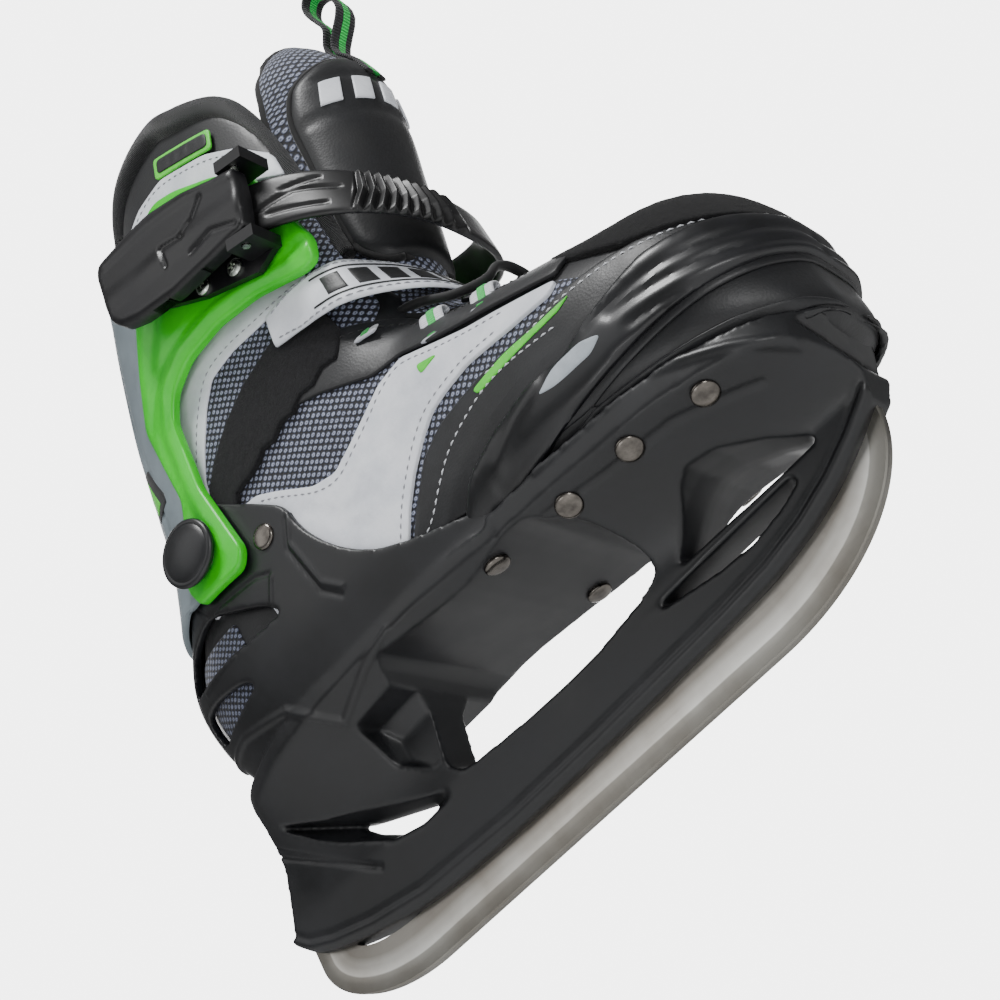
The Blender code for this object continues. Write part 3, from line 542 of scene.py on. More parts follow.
def spacer_mesh(name, ground, loop_dark, loop_light, pitch=3.3):
    """Knitted spacer mesh: pale loops of doubled yarn stand in staggered rows on a dark ground knit,
    pitch millimetres apart, so light catches each loop's crown."""
    material, tree, shader = new_finish(name, {"Roughness": 0.8, "Sheen Weight": 0.25,
                                               "Sheen Roughness": 0.4})
    flat = add_node(tree, "TexCoord", {}).outputs["UV"]
    turned = add_node(tree, "Mapping", {"Vector": flat, "Rotation": (0, 0, math.radians(45)),
                                        "Scale": (1 / (pitch * MM), 1.15 / (pitch * MM), 1.0)})
    cells = add_node(tree, "TexVoronoi", {"Vector": turned.outputs["Vector"], "Scale": 1.0,
                                          "Randomness": 0.12}, voronoi_dimensions="2D")
    yarn = add_node(tree, "TexNoise", {"Vector": flat, "Scale": 1 / (0.7 * MM), "Detail": 3.0})
    fuzzy = add_node(tree, "Math", {0: yarn.outputs["Fac"], 1: 0.34, 2: cells.outputs["Distance"]},
                     operation="MULTIPLY_ADD")
    tone = add_node(tree, "ValToRGB", {"Fac": fuzzy.outputs["Value"]},
                    stops=((0.24, loop_dark), (0.36, loop_light), (0.5, loop_dark), (0.62, ground)))
    wire(tree, shader, tone.outputs["Color"], None, fuzzy.outputs["Value"], -0.5)
    return material


def woven(name, tones, rib, gloss=0.75):
    """Woven webbing or knitted tape: weft ribs, rib millimetres apart, with single threads between."""
    material, tree, shader = new_finish(name, {"Roughness": gloss, "Sheen Weight": 0.3,
                                               "Sheen Roughness": 0.35})
    flat = add_node(tree, "TexCoord", {}).outputs["UV"]
    ribs = add_node(tree, "TexWave", {"Vector": flat, "Scale": 0.314 / (rib * MM), "Distortion": 1.2,
                                      "Detail": 2.0, "Detail Scale": 3.0}, bands_direction="X")
    fuzz = add_node(tree, "TexNoise", {"Vector": flat, "Scale": 1 / (0.5 * MM), "Detail": 3.0})
    mixed = add_node(tree, "Math", {0: fuzz.outputs["Fac"], 1: 0.5, 2: ribs.outputs["Fac"]},
                     operation="MULTIPLY_ADD")
    tone = add_node(tree, "ValToRGB", {"Fac": mixed.outputs["Value"]},
                    stops=((0.35, tones[0]), (1.0, tones[1])))
    wire(tree, shader, tone.outputs["Color"], None, mixed.outputs["Value"], 0.25)
    return material


def napped(name, dark, light, tuft, depth):
    """Felt or the loop side of hook-and-loop tape: matted fibres, tuft millimetres across, which
    swallow the light."""
    material, tree, shader = new_finish(name, {"Roughness": 0.95, "Sheen Weight": 0.06,
                                               "Sheen Roughness": 0.6, "Specular IOR Level": 0.2})
    place = add_node(tree, "TexCoord", {}).outputs["Object"]
    fibres = add_node(tree, "TexNoise", {"Vector": place, "Scale": 1 / (tuft * MM), "Detail": 6.0,
                                         "Roughness": 0.75, "Distortion": 1.5})
    tone = add_node(tree, "ValToRGB", {"Fac": fibres.outputs["Fac"]}, stops=((0.38, dark), (0.66, light)))
    wire(tree, shader, tone.outputs["Color"], None, fibres.outputs["Fac"], depth)
    return material


def polished_metal(name, dark, light, rough_low, rough_high):
    """Plated or stamped metal: handling haze over spots 4 mm wide."""
    material, tree, shader = new_finish(name, {"Metallic": 1.0})
    place = add_node(tree, "TexCoord", {}).outputs["Object"]
    haze = add_node(tree, "TexNoise", {"Vector": place, "Scale": 1 / (4 * MM), "Detail": 5.0})
    tone = add_node(tree, "ValToRGB", {"Fac": haze.outputs["Fac"]}, stops=((0.3, dark), (0.7, light)))
    rough = add_node(tree, "MapRange", {"Value": haze.outputs["Fac"], "To Min": rough_low,
                                        "To Max": rough_high})
    wire(tree, shader, tone.outputs["Color"], rough.outputs["Result"], haze.outputs["Fac"], 0.01)
    return material


def ground_steel(name):
    """Stainless strip ground on a wheel: fine scratches run along the blade, the upper band is bright,
    the band next to the edge is crossed by the grinding wheel and looks darker and warmer."""
    material, tree, shader = new_finish(name, {"Metallic": 1.0})
    place = add_node(tree, "TexCoord", {}).outputs["Object"]
    depth_in = add_node(tree, "Attribute", {}, attribute_name="from_edge").outputs["Fac"]
    along = add_node(tree, "Mapping", {"Vector": place, "Scale": (1 / (40 * MM), 1 / MM, 1 / (0.35 * MM))})
    scratches = add_node(tree, "TexNoise", {"Vector": along.outputs["Vector"], "Scale": 1.0, "Detail": 4.0})
    across = add_node(tree, "Mapping", {"Vector": place, "Rotation": (0, math.radians(35), 0),
                                        "Scale": (1 / (0.3 * MM), 1 / MM, 1 / (14 * MM))})
    wheel = add_node(tree, "TexNoise", {"Vector": across.outputs["Vector"], "Scale": 1.0, "Detail": 4.0})
    stains = add_node(tree, "TexNoise", {"Vector": place, "Scale": 1 / (38 * MM), "Detail": 4.0,
                                         "Roughness": 0.55})
    band = add_node(tree, "Math", {0: stains.outputs["Fac"], 1: 0.06, 2: depth_in},
                    operation="MULTIPLY_ADD").outputs["Value"]
    tone = add_node(tree, "ValToRGB", {"Fac": band},
                    stops=((0.0, "85837D"), (0.30, "97958F"), (0.49, "A5A39D"), (0.53, "E0DFDA"),
                           (0.85, "CFCDC7"), (1.0, "A8A49D")))
    worn = add_node(tree, "ValToRGB", {"Fac": stains.outputs["Fac"]},
                    stops=((0.38, "A89B8C"), (0.62, "FFFFFF")))
    tinted = add_node(tree, "Mix", {"Factor": 0.45, 6: tone.outputs["Color"], 7: worn.outputs["Color"]},
                      data_type="RGBA", blend_type="MULTIPLY")
    lines = add_node(tree, "Math", {0: scratches.outputs["Fac"], 1: wheel.outputs["Fac"]}, operation="ADD")
    rough = add_node(tree, "MapRange", {"Value": lines.outputs["Value"], "From Min": 0.7, "From Max": 1.3,
                                        "To Min": 0.3, "To Max": 0.46})
    wire(tree, shader, tinted.outputs[2], rough.outputs["Result"], lines.outputs["Value"], 0.012)
    return material


STEEL = ground_steel("ground_stainless_strip")
HOLDER_BLACK = moulded("moulded_glass_filled_nylon_black", "0D0E10", "17181B", 0.36, 0.48)
BUCKLE_BLACK = moulded("moulded_acetal_black", "0B0B0D", "131316", 0.3, 0.42)
STRAP_BLACK = moulded("moulded_polyurethane_black", "09090A", "121214", 0.36, 0.48, coat=0.05)
BUMPER_BLACK = moulded("moulded_thermoplastic_rubber_black", "08090B", "101115", 0.33, 0.44, coat=0.12)
CUFF_GREEN = moulded("moulded_nylon_bright_green", "1FBA10", "38D024", 0.3, 0.4)
CUFF_GREY = moulded("moulded_nylon_grey", "707B81", "838E94", 0.36, 0.46)
PIVOT_BLACK = moulded("moulded_nylon_cap_black", "121315", "1B1C1F", 0.34, 0.44)
WHITE_PU = coated_leather("coated_fabric_white", "C5C9D1", "DDE0E6", 0.42)
BLACK_PU = coated_leather("coated_fabric_black", "0A0B0D", "131417", 0.42)
GREEN_PU = coated_leather("coated_fabric_green_print", "3FBE26", "5BD83C", 0.4)
MESH = spacer_mesh("knitted_spacer_mesh_navy", "0B0C14", "474D62", "A2A8BC", pitch=2.5)
HEEL_MESH = spacer_mesh("knitted_spacer_mesh_heel", "0B0C14", "3E445A", "848A9E", pitch=2.3)
LINING = woven("brushed_tricot_lining_black", ("08080A", "16171A"), rib=0.8, gloss=0.9)
BINDING = woven("knitted_binding_black", ("060607", "131316"), rib=0.9, gloss=0.85)
TAPE_BLACK = woven("woven_polyester_webbing_black", ("0B0B0D", "26262A"), rib=1.2)
TAPE_GREEN = woven("woven_polyester_webbing_green", ("008F2E", "17DA5B"), rib=1.2, gloss=0.6)
TAPE_WHITE = woven("woven_polyester_webbing_white", ("B7BAC2", "EEEFF3"), rib=1.2, gloss=0.6)
LACE_BLACK = woven("braided_polyester_lace_black", ("0B0B0D", "2B2B30"), rib=1.0)
LOOP_TAPE = napped("hook_and_loop_tape_black", "040405", "1E1E22", 0.9, 0.7)
FELT = napped("needled_felt_black", "060607", "1A1A1C", 0.8, 0.6)
THREAD_WHITE = woven("twisted_thread_white", ("C9CBD0", "F4F4F6"), rib=0.5)
THREAD_GREY = woven("twisted_thread_grey", ("8A8C92", "B3B6BC"), rib=0.5)
THREAD_BLACK = woven("twisted_thread_black", ("08080A", "1C1C20"), rib=0.5)
NICKEL = polished_metal("stamped_nickel_plated_steel", "45423F", "7A756F", 0.16, 0.3)
ZINC = polished_metal("zinc_plated_steel", "A4AAA2", "DDE3DA", 0.18, 0.34)
FOAM = napped("tricot_covered_foam", "1D1F23", "34373D", 0.6, 0.15)
BOARD = napped("pressed_fibre_board", "55524C", "77736B", 0.8, 0.1)


# ---------------------------------------------------------------- camera, light and floor

DIM_STUDIO, LIT_PAPER = 0.2, 5.0


def set_stage():
    camera_data = bpy.data.cameras.new("camera")
    camera_data.sensor_width = 36.0
    camera_data.lens = 61.92
    camera_data.clip_start, camera_data.clip_end = 0.01, 20.0
    camera = bpy.data.objects.new("camera", camera_data)
    bpy.context.scene.collection.objects.link(camera)
    right, up = Vector((0.6506, 0.6200, -0.4385)), Vector((0.6697, -0.1962, 0.7162))
    right.normalize()
    up = (up - right * up.dot(right)).normalized()
    turn = Matrix((right, up, right.cross(up))).transposed().to_4x4()
    camera.matrix_world = Matrix.Translation((0.2154, -0.4348, -0.2007)) @ turn
    bpy.context.scene.camera = camera

    world = bpy.data.worlds.new("studio")
    world.use_nodes = True
    bpy.context.scene.world = world
    # Lit white paper hangs behind the object, the rest of the studio is dim
    tree = world.node_tree
    direction = add_node(tree, "TexCoord", {}).outputs["Generated"]
    facing = add_node(tree, "VectorMath", {0: direction, 1: (-0.358, 0.760, 0.543)},
                      operation="DOT_PRODUCT").outputs["Value"]
    paper = add_node(tree, "MapRange", {"Value": facing, "From Min": 0.895, "From Max": 0.925,
                                        "To Min": DIM_STUDIO, "To Max": LIT_PAPER})
    tree.links.new(paper.outputs["Result"], tree.nodes["Background"].inputs["Strength"])
    tree.nodes["Background"].inputs["Color"].default_value = (1.0, 1.0, 1.0, 1.0)

    def soft_light(name, place, aim, size, power):
        lamp = bpy.data.lights.new(name, "AREA")
        lamp.shape, lamp.size, lamp.energy = "DISK", size, power
        item = bpy.data.objects.new(name, lamp)
        bpy.context.scene.collection.objects.link(item)
        item.location = place
        item.rotation_mode = "QUATERNION"
        item.rotation_quaternion = (Vector(aim) - Vector(place)).to_track_quat("-Z", "Y")

    soft_light("key_light", (0.3, -0.75, 1.3), (0, 0, 0.15), 0.45, 19.0)
    soft_light("side_panel", (-0.5, -1.06, 0.85), (0, 0, 0.1), 1.0, 3.2)
    soft_light("fill_light", (0.9, -0.8, 0.1), (0, 0, 0.12), 0.35, 4.5)
    soft_light("low_light", (-0.2, -0.8, -0.45), (0, 0, 0.08), 0.3, 1.6)

    floor_material, tree, shader = new_finish("matt_painted_floor", {"Roughness": 0.9,
                                                                      "Base Color": linear("F4F4F4")})
    speckle = add_node(tree, "TexNoise", {"Scale": 3.0, "Detail": 2.0})
    tone = add_node(tree, "ValToRGB", {"Fac": speckle.outputs["Fac"]},
                    stops=((0.0, "F2F2F2"), (1.0, "F7F7F7")))
    wire(tree, shader, tone.outputs["Color"])
    half = 6000
    floor = to_object("floor", [(-half, -half, -450), (half, -half, -450), (half, half, -450),
                                (-half, half, -450)], [(0, 1, 2, 3)], floor_material)


set_stage()


# ---------------------------------------------------------------- base: runner, holder, heel cage

def make_runner():
    """Ground runner: a band that follows the running edge, hollow ground below."""
    edge = [((-136, 34), (1, 0)), ((-136, 30), (1, 0))]
    for i in range(33):
        a = math.pi / 2 * i / 32
        edge.append(((-88 - 48 * math.cos(a), 26 - 26 * math.sin(a)), (math.cos(a), math.sin(a))))
    edge += [((x, 0), (0, 1)) for x in range(-80, 62, 8)]
    for i in range(41):
        a = math.pi / 2 * i / 40
        edge.append(((61.5 + 67 * math.sin(a), 42 - 42 * math.cos(a)), (-math.sin(a), math.cos(a))))
    section = ((-1.4, 0.0), (-2.0, 0.5), (-2.0, 3), (-2.0, 5.6), (-1.93, 6.1), (-1.93, 9), (-1.93, 13),
               (-1.93, 17), (1.93, 17), (1.93, 13), (1.93, 9), (1.93, 6.1), (2.0, 5.6), (2.0, 3),
               (2.0, 0.5), (1.4, 0.0), (0.0, 0.25))
    rings = []
    for (x, z), (nx, nz) in edge:
        size = math.hypot(nx, nz)
        rings.append([(x + nx / size * d, y, z + nz / size * d) for y, d in section])
    blade = loft("runner", rings, STEEL)
    depth = blade.data.attributes.new("from_edge", "FLOAT", "POINT")
    depth.data.foreach_set("value", [min(d / 12.0, 1.0) for _ in edge for _, d in section])
    blade.data.set_sharp_from_angle(angle=math.radians(28))
    mount(blade, "boot", "runner_steel", "runner_blade")


def holder_half_width(x, z, sole):
    """Narrow beam below, a waist in the towers, flared sole tray with a rounded flange above."""
    full = read_table(HOLDER_WIDTH, x)
    rise = min(max((z - 40) / (sole - 6 - 40), 0.0), 1.0)
    return 7.5 + (full - 7.5) * rise ** 1.75


def make_holder_body():
    columns, rows = 138, 40
    rear = ((0.0, -139.0), (0.35, -131.0), (0.6, -127.0), (1.0, -123.0))
    front = ((0.0, 129.0), (0.33, 133.0), (0.62, 128.0), (0.88, 129.0), (1.0, 137.0))
    rings = []
    for i in range(columns + 1):
        s = i / columns
        ring = []
        for side in (OUTER, INNER):
            line = []
            for j in range(rows + 1):
                t = j / rows
                x = read_table(rear, t) * (1 - s) + read_table(front, t) * s
                low = read_table(HOLDER_LOW, x)
                high = sole_height(x) + (3.0 if x > 20 else 0.0) - 0.3
                z = low + (high - low) * t
                half = holder_half_width(x, z, sole_height(x))
                if t < 0.08:
                    half = 7.5 - 2.5 * (1 - t / 0.08) ** 2
                line.append((x, side * max(half, 1.0), z))
            ring += line if side == OUTER else line[::-1]
        rings.append(ring)
    holder = loft("holder_body", rings)
    gap = [(-49, 43), (-33, 40), (-8, 38.5), (8, 38.5), (24, 40), (46, 45), (44, 62), (36, 70),
           (26, 74.4), (0, 74.4), (-30, 77.5), (-42, 76), (-49, 55)]
    gap = [tuple(p) for p in smooth_line(gap, 4, closed=True)]
    cut(holder, prism("gap", gap, -50, 50))
    # Shallow trays in the towers' sides, then the windows through them
    for side in (OUTER, INNER):
        facet = ((-66, 72), (-40, 73), (-44, 44), (-56, 44), (-66, 56))
        cut(holder, loft("facet", [[(x, side * 60, z) for x, z in facet],
                                   [(-54 + (x + 54) * 0.9, side * 13, 56 + (z - 56) * 0.9)
                                    for x, z in facet],
                                   [(-54 + (x + 54) * 0.62, side * 8.5, 54 + (z - 54) * 0.55)
                                    for x, z in facet]]))
    windows = (
        (((50, 40), (71, 54), (77, 55.8), (87, 54), (99, 48.5), (110, 42), (111, 39.5), (98, 39.2)),
         (84, 47.5), 0.9),
        (((30, 36.0), (52, 36.6), (97, 37.2), (99, 34.6), (90, 31.5), (76, 29.2), (62, 30.2)), (76, 34), 0.9),
        (((-119, 71), (-100, 60), (-60, 43), (-49, 38.5), (-50, 35), (-66, 34.5), (-84, 39), (-103, 53)),
         (-80, 45), 0.5),
    )
    for outline, (cx, cz), waist in windows:
        rings = []
        for y, scale in ((-46, 1.12), (-11, 1.0), (-2, waist), (2, waist), (11, 1.0), (46, 1.12)):
            rings.append([(cx + (x - cx) * scale, y, cz + (z - cz) * scale) for x, z in outline])
        cut(holder, loft("window", rings))
    return holder


def cage_wall(z_low, z_high, inner, outer):
    """Heel cage as a ring of wall round the rear, its front edge following the wings."""
    top = ((-150, 176), (-69, 172), (-46, 150), (-41, 143), (-38, 131), (-31, 118), (-20, 106), (-6, 98),
           (10, 92), (24, 87), (40, 80))
    def body(name, grow, low, high):
        rings = [[leg_point(a, z, grow) for a in np.arange(0, 360, 4)]
                 for z in np.arange(low, high + 0.1, 3.0)]
        return loft(name, rings)
    cage = body("cage_body", outer, z_low, z_high)
    keep = [(-160, z_low - 5), (-160, 176)] + [tuple(p) for p in smooth_line(top[1:], 3)] + [(40, z_low - 5)]
    cut(cage, prism("keep", keep, -80, 80), "INTERSECT")
    cut(cage, body("core", inner, z_low - 10, z_high + 12))
    upper = ((-122, 126), (-113, 137), (-92, 139), (-66, 121.5), (-60, 114), (-80, 117), (-112, 123))
    lower = ((-121, 117), (-108, 114.5), (-90, 108.5), (-85, 103.5), (-100, 102.5), (-118, 102.5))
    for outline in (upper, lower):
        outline = [tuple(p) for p in round_corners(outline, 5)]
        cut(cage, prism("window", outline, -60, 60))
    slot = [(-132, 99), (-95, 99), (-95, 137), (-132, 137)]
    cut(cage, prism("slot", slot, -9, 9))
    return cage


def make_base():
    """Blade holder and heel cage, one moulding with soft edges, beads and engraved lines."""
    base = merge_and_smooth("blade_holder_and_cage", [make_holder_body(), cage_wall(80.0, 178.0, 0.6, 3.8)],
                            HOLDER_BLACK, 0.85, 5)
    low_bead = [(x, z + 2.6) for x, z in HOLDER_LOW]
    engrave(base, [
        (low_bead, 1.9, 0.7),
        ([(x, z + 2.6) for x, z in low_bead], 1.5, -0.5),
        ([(-129, 66), (-92, 36)], 1.3, -0.9),
        ([(-127, 68.5), (-95, 38.5)], 1.1, -0.5),
        ([(31, 88), (43, 81.5), (90, 75.5), (114, 63.5), (126, 56)], 2.6, 1.0),
        ([(36, 70.5), (60, 66), (86, 62), (112, 55)], 1.2, -0.5),
        ([(-42, 140), (-47, 130), (-43, 108), (-37, 101)], 1.3, -0.7),
        ([(-40, 142), (-45, 131), (-41, 110), (-35, 103)], 1.6, 0.6),
        ([(-97, 147), (-92, 139), (-64, 132), (-57, 128)], 1.2, -0.6),
        ([(-57, 128), (-64, 117), (-86, 118), (-110, 120)], 1.2, 0.5),
        ([(-64, 73.5), (-46, 78), (-30, 81)], 1.6, 0.7),
        ([(-66, 73), (-80, 88), (-104, 96), (-126, 98)], 2.2, 0.9),
    ], y_low=4.0)
    mount(base, "boot", "black_nylon", "blade_holder", "heel_cage")
    return base


make_runner()
make_base()


# ---------------------------------------------------------------- cuff: shell, frames, buckle, strap

def turned(name, profile, base, direction, material, count=40):
    """Body turned about an axis: profile of (distance along the axis, radius)."""
    rotate = Vector(direction).normalized().to_track_quat("Z", "Y").to_matrix()
    rings = [[Vector(base) + rotate @ Vector((r * math.cos(2 * math.pi * i / count),
                                              r * math.sin(2 * math.pi * i / count), along))
              for i in range(count)] for along, r in profile]
    item = loft(name, rings, material)
    item.data.set_sharp_from_angle(angle=math.radians(45))
    return item


def cuff_side(side):
    return lambda x, z, h: Vector((x, side * leg_half(x, z, h, CUFF_POWER), z))


def around(u, z, h):
    """Round the leg: u is the section angle, from 0 at the front through -90 outer and -180 rear."""
    return leg_point(u, z, h, CUFF_POWER)


FRAME_OUTLINE = (
    (-41, 286.5), (-27, 289.5), (-17, 285), (0, 273), (13, 261), (22, 214), (19, 205.5), (13, 205.5),
    (-9, 216), (-28, 221), (-46, 221), (-58, 216), (-64, 207), (-66, 176), (-60.5, 142), (-65, 136.5),
    (-89, 141), (-93, 150), (-92, 162), (-81, 171), (-77.5, 180), (-80.5, 218), (-72, 236), (-62, 254),
)


def make_frames():
    """Green side frames: a raised lip along the lower front edge, a hollow above it."""
    lip = [(20, 210.5), (12, 211.5), (-9, 221.5), (-28, 226.5), (-47, 226), (-62, 220), (-69.5, 209),
            (-71.5, 176), (-67, 148)]
    hollow = [(-76, 152), (-74, 168), (-73, 200), (-62, 236), (-40, 262), (-14, 266)]
    relief = [(lip, 3.6, 1.0), ([(x - 6, z + 5.5) for x, z in lip[:7]], 2.6, -0.7), (hollow, 6, -0.8)]
    for side, label in ((OUTER, "outer"), (INNER, "inner")):
        item = plate("cuff_frame_" + label + "_shell", round_corners(FRAME_OUTLINE, 3.2), cuff_side(side),
                     5.0, 8.4, CUFF_GREEN, rim=1.5, step=2.0, lines=relief)
        mount(item, "cuff", "green_nylon", "cuff_frame_" + label)


PATCH_FIELD = ((-146, 214), (-138, 211), (-127, 193), (-127, 189), (-143, 190), (-150, 203))
PATCH_WEDGE = ((-144, 210), (-133, 193), (-141, 192.5), (-147, 202))


def make_cuff_shell():
    """Grey rear shell of the cuff, wrapped round the heel from side frame to side frame."""
    edge = ((-98, 146.5), (-84, 144.5), (-76, 148), (-74, 176), (-77, 218), (-62, 252), (-50, 280),
            (-53, 288))
    outer = [(leg_angle(x, z, 7, OUTER), z) for x, z in smooth_line(edge, 3)]
    inner = [(-360 - a, z) for a, z in outer]
    top = [(-150, 290), (-166, 285), (-194, 285), (-210, 290)]
    bottom = [(-225, 149), (-200, 146), (-160, 146), (-135, 149)]
    outline = round_corners(outer + top + inner[::-1] + bottom, 3)
    ridges = [([(a, 152), (a, 200), (-180 + (a + 180) * 0.55, 246), (-180 + (a + 180) * 0.55, 280)], 3.2, 1.1)
              for a in (-158, -202)]
    shell = plate("cuff_rear_shell", outline, around, 4.8, 7.2, CUFF_GREY, rim=1.3, step=2.6,
                  lines=ridges + [([(-132, 160), (-136, 200), (-141, 246), (-143, 280)], 3, -0.6),
                                  ([(-228, 160), (-224, 200), (-219, 246), (-217, 280)], 3, -0.6)])
    mount(shell, "cuff", "grey_nylon", "cuff_shell")
    # Plain printed patch: a dark slanted field with a green wedge
    for side, label in ((-1, "outer"), (1, "inner")):
        a = lambda u: u if side < 0 else -360 - u
        field = [(a(u), z) for u, z in PATCH_FIELD]
        wedge = [(a(u), z) for u, z in PATCH_WEDGE]
        for name, outline, low, high, tone in (("patch_field_", field, 7.0, 7.4, BLACK_PU),
                                               ("patch_wedge_", wedge, 7.2, 7.55, GREEN_PU)):
            patch = plate(name + label, outline, around, low, high, tone, rim=0.3, step=2.5)
            mount(patch, "cuff", "black_nylon" if tone is BLACK_PU else "green_nylon")


def make_pivots():
    for side, label in ((OUTER, "outer"), (INNER, "inner")):
        low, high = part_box("pivot_cap_" + label)
        centre = (low + high) / 2 / MM
        base_y = (high.y if side < 0 else low.y) / MM
        profile = [(0.0, 11.6), (0.8, 12.2), (1.7, 12.5), (2.4, 12.3), (2.9, 11.6), (3.0, 10.9), (2.8, 10.4),
                   (3.1, 10.0), (3.6, 8.6), (4.1, 6.6), (4.5, 4.0), (4.7, 1.4), (4.7, 0.2)]
        cap = turned("ankle_pivot_cap_" + label, profile, (centre.x, base_y, centre.z), (0, side, 0),
                     PIVOT_BLACK, 64)
        mount(cap, "boot", "black_nylon", "pivot_cap_" + label)
        low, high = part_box("wing_rivet_" + label)
        centre = (low + high) / 2 / MM
        base_y = (high.y if side < 0 else low.y) / MM
        rivet = turned("wing_rivet_head_" + label,
                       [(-0.6, 4.6), (0.1, 4.7), (0.5, 4.5), (0.8, 4.2), (1.0, 3.6), (1.1, 2.0), (1.15, 0.2)],
                       (centre.x, base_y, centre.z), (0, side, 0), NICKEL, 48)
        mount(rivet, "boot", "fastener_steel", "wing_rivet_" + label)
    for side, label in ((OUTER, "outer"), (INNER, "inner")):
        for number, x in enumerate((11.0, 44.0, 71.0, 99.0), 1):
            node = f"sole_rivet_{label}_{number}"
            low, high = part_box(node)
            centre = (low + high) / 2 / MM
            sole, y = sole_height(x), abs(centre.y)
            zs = np.linspace(45, sole - 3, 60)
            z = zs[int(np.argmin([abs(holder_half_width(x, v, sole) - y) for v in zs]))]
            slope = holder_half_width(x, z + 0.5, sole) - holder_half_width(x, z - 0.5, sole)
            out = Vector((0, side, -slope)).normalized()
            if number == 1:
                out, z = Vector((0, 0, -1)), 74.4
            rivet = turned(node + "_head", [(-1.5, 4.4), (0.5, 4.5), (0.9, 4.5), (1.3, 4.1), (1.6, 3.4),
                                            (1.75, 2.0), (1.8, 0.2)],
                           Vector((x, side * y, z)), out, NICKEL, 48)
            mount(rivet, "boot", "fastener_steel", node)


def strap_height(x):
    return 238.0 - 28.0 * ((x - 8) / 46) ** 1.2 if x > 8 else 238.0 + 0.33 * (8 - x)


def strap_path(start, end, count):
    """Points and outward normals round the front of the leg at the cuff strap's height."""
    centre, length, half, power = -8.0, 61.0, 52.0, 2.6
    points, normals = [], []
    for i in range(count):
        a = math.radians(start + (end - start) * i / (count - 1))
        x = centre + length * signed_power(math.cos(a), 2 / power)
        y = half * signed_power(math.sin(a), 2 / power)
        points.append(Vector((x, y, strap_height(x))))
        normals.append(Vector((signed_power((x - centre) / length, power - 1) / length,
                               signed_power(y / half, power - 1) / half, 0)).normalized())
    return points, normals


RIBS_FROM, RIBS_TO = 0.28, 0.49


def make_cuff_strap():
    """Ladder strap: engraved smooth end by the buckle, then ten V-shaped flex ribs, then a plain end."""
    points, normals = strap_path(-97, 104, 760)
    engraved = [([(0.14, 0.5), (0.23, 0.55)], 0.1), ([(0.11, 0.25), (0.17, -0.2), (0.25, -0.15)], 0.1),
                ([(0.16, -0.35), (0.21, -0.6)], 0.1)]

    def ribs(share, across):
        height = 0.0
        if RIBS_FROM < share < RIBS_TO:
            phase = (share - RIBS_FROM) / (RIBS_TO - RIBS_FROM) * 10 + 0.5 * abs(across)
            height = 2.6 * abs((phase % 1.0) - 0.5) * 2 - 0.9
            height *= min(1.0, (share - RIBS_FROM) / 0.01, (RIBS_TO - share) / 0.01)
        for line, width in engraved:
            flat = np.array([[share * 6.0, across]])
            gap = distance_to_line(flat, [(s * 6.0, a) for s, a in line])[0]
            height -= 0.8 * max(0.0, 1 - (gap / width) ** 2)
        return height

    strap = ribbon("ladder_strap_moulding", points, normals, lambda s: 20.5 - 2.5 * max(0, s - 0.7), 3.0,
                   STRAP_BLACK, ribs=ribs, columns=28)
    mount(strap, "cuff", "black_nylon", "ladder_strap")


def make_lever():
    """Buckle lever: a deep cover with rounded edges, a hooked finger end and engraved lines."""
    outline = ((18, 249.0), (8, 254), (-5, 262), (-22, 269.5), (-36, 272.5), (-53, 275), (-56, 271),
               (-58, 258), (-59, 250), (-55.5, 244), (-46, 238), (-27, 231), (-8, 227.5), (10.5, 225),
               (15.5, 238))
    outline = round_corners(outline, 2.5)

    def place(x, z, h):
        fall = 0.0042 * max(0.0, -x - 10) ** 1.6
        return Vector((x, -(h - fall), z))

    lever = plate("buckle_lever_cover", outline, place, 54.4, 60.9, BUCKLE_BLACK, rim=2.4, step=1.0, lines=[
        ([(-13, 246), (-24, 251), (-25, 243)], 1.5, -1.1),
        ([(1, 252), (-6, 248), (-14, 247)], 1.5, -0.8),
        ([(8, 229), (-2, 236), (-13, 237)], 1.6, -0.9),
        ([(14, 247), (-5, 258), (-24, 265), (-50, 271)], 3.0, 0.5),
        ([(12, 236), (-10, 243), (-40, 251), (-54, 256)], 6.0, 0.5)])
    mount(lever, "buckle_lever", "black_nylon", "buckle_lever")


def make_screws():
    """Zinc-plated pan-head screws with a cross recess."""
    heads = (("buckle_screw_1", "cuff", (0, -1, 0), 3.4), ("buckle_screw_2", "cuff", (0, -1, 0), 3.4),
             ("cuff_rear_screw", "cuff", (-1, 0, -0.1), 4.0), ("strap_anchor_bolt", "cuff", None, 4.6))
    for node, body, out, radius in heads:
        low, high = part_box(node)
        centre = (low + high) / 2 / MM
        if out is None:
            points, normals = strap_path(-97, 104, 420)
            nearest = min(range(len(points)), key=lambda i: (points[i] - centre).length)
            out = normals[nearest]
        out = Vector(out).normalized()
        base = centre - out * 1.0
        if node == "cuff_rear_screw":
            base = leg_point(180, centre.z, 6.6, CUFF_POWER)
        profile = [(0.0, radius), (0.9, radius), (1.5, radius * 0.86), (1.9, radius * 0.6),
                   (2.1, radius * 0.3), (2.12, 0.1)]
        head = turned(node + "_head", profile, base, out, ZINC, 40)
        side = out.cross(Vector((0.3, 0.1, 1))).normalized()
        for arm in (side, out.cross(side)):
            other = out.cross(arm)
            cross = loft("recess", [[base + arm * a * radius * 0.5 + other * b * 0.45 + out * c
                                     for a, b in ((-1, -1), (1, -1), (1, 1), (-1, 1))] for c in (1.1, 3.0)])
            cut(head, cross)
        head.data.shade_smooth()
        head.data.set_sharp_from_angle(angle=math.radians(35))
        mount(head, body, "fastener_steel", node)


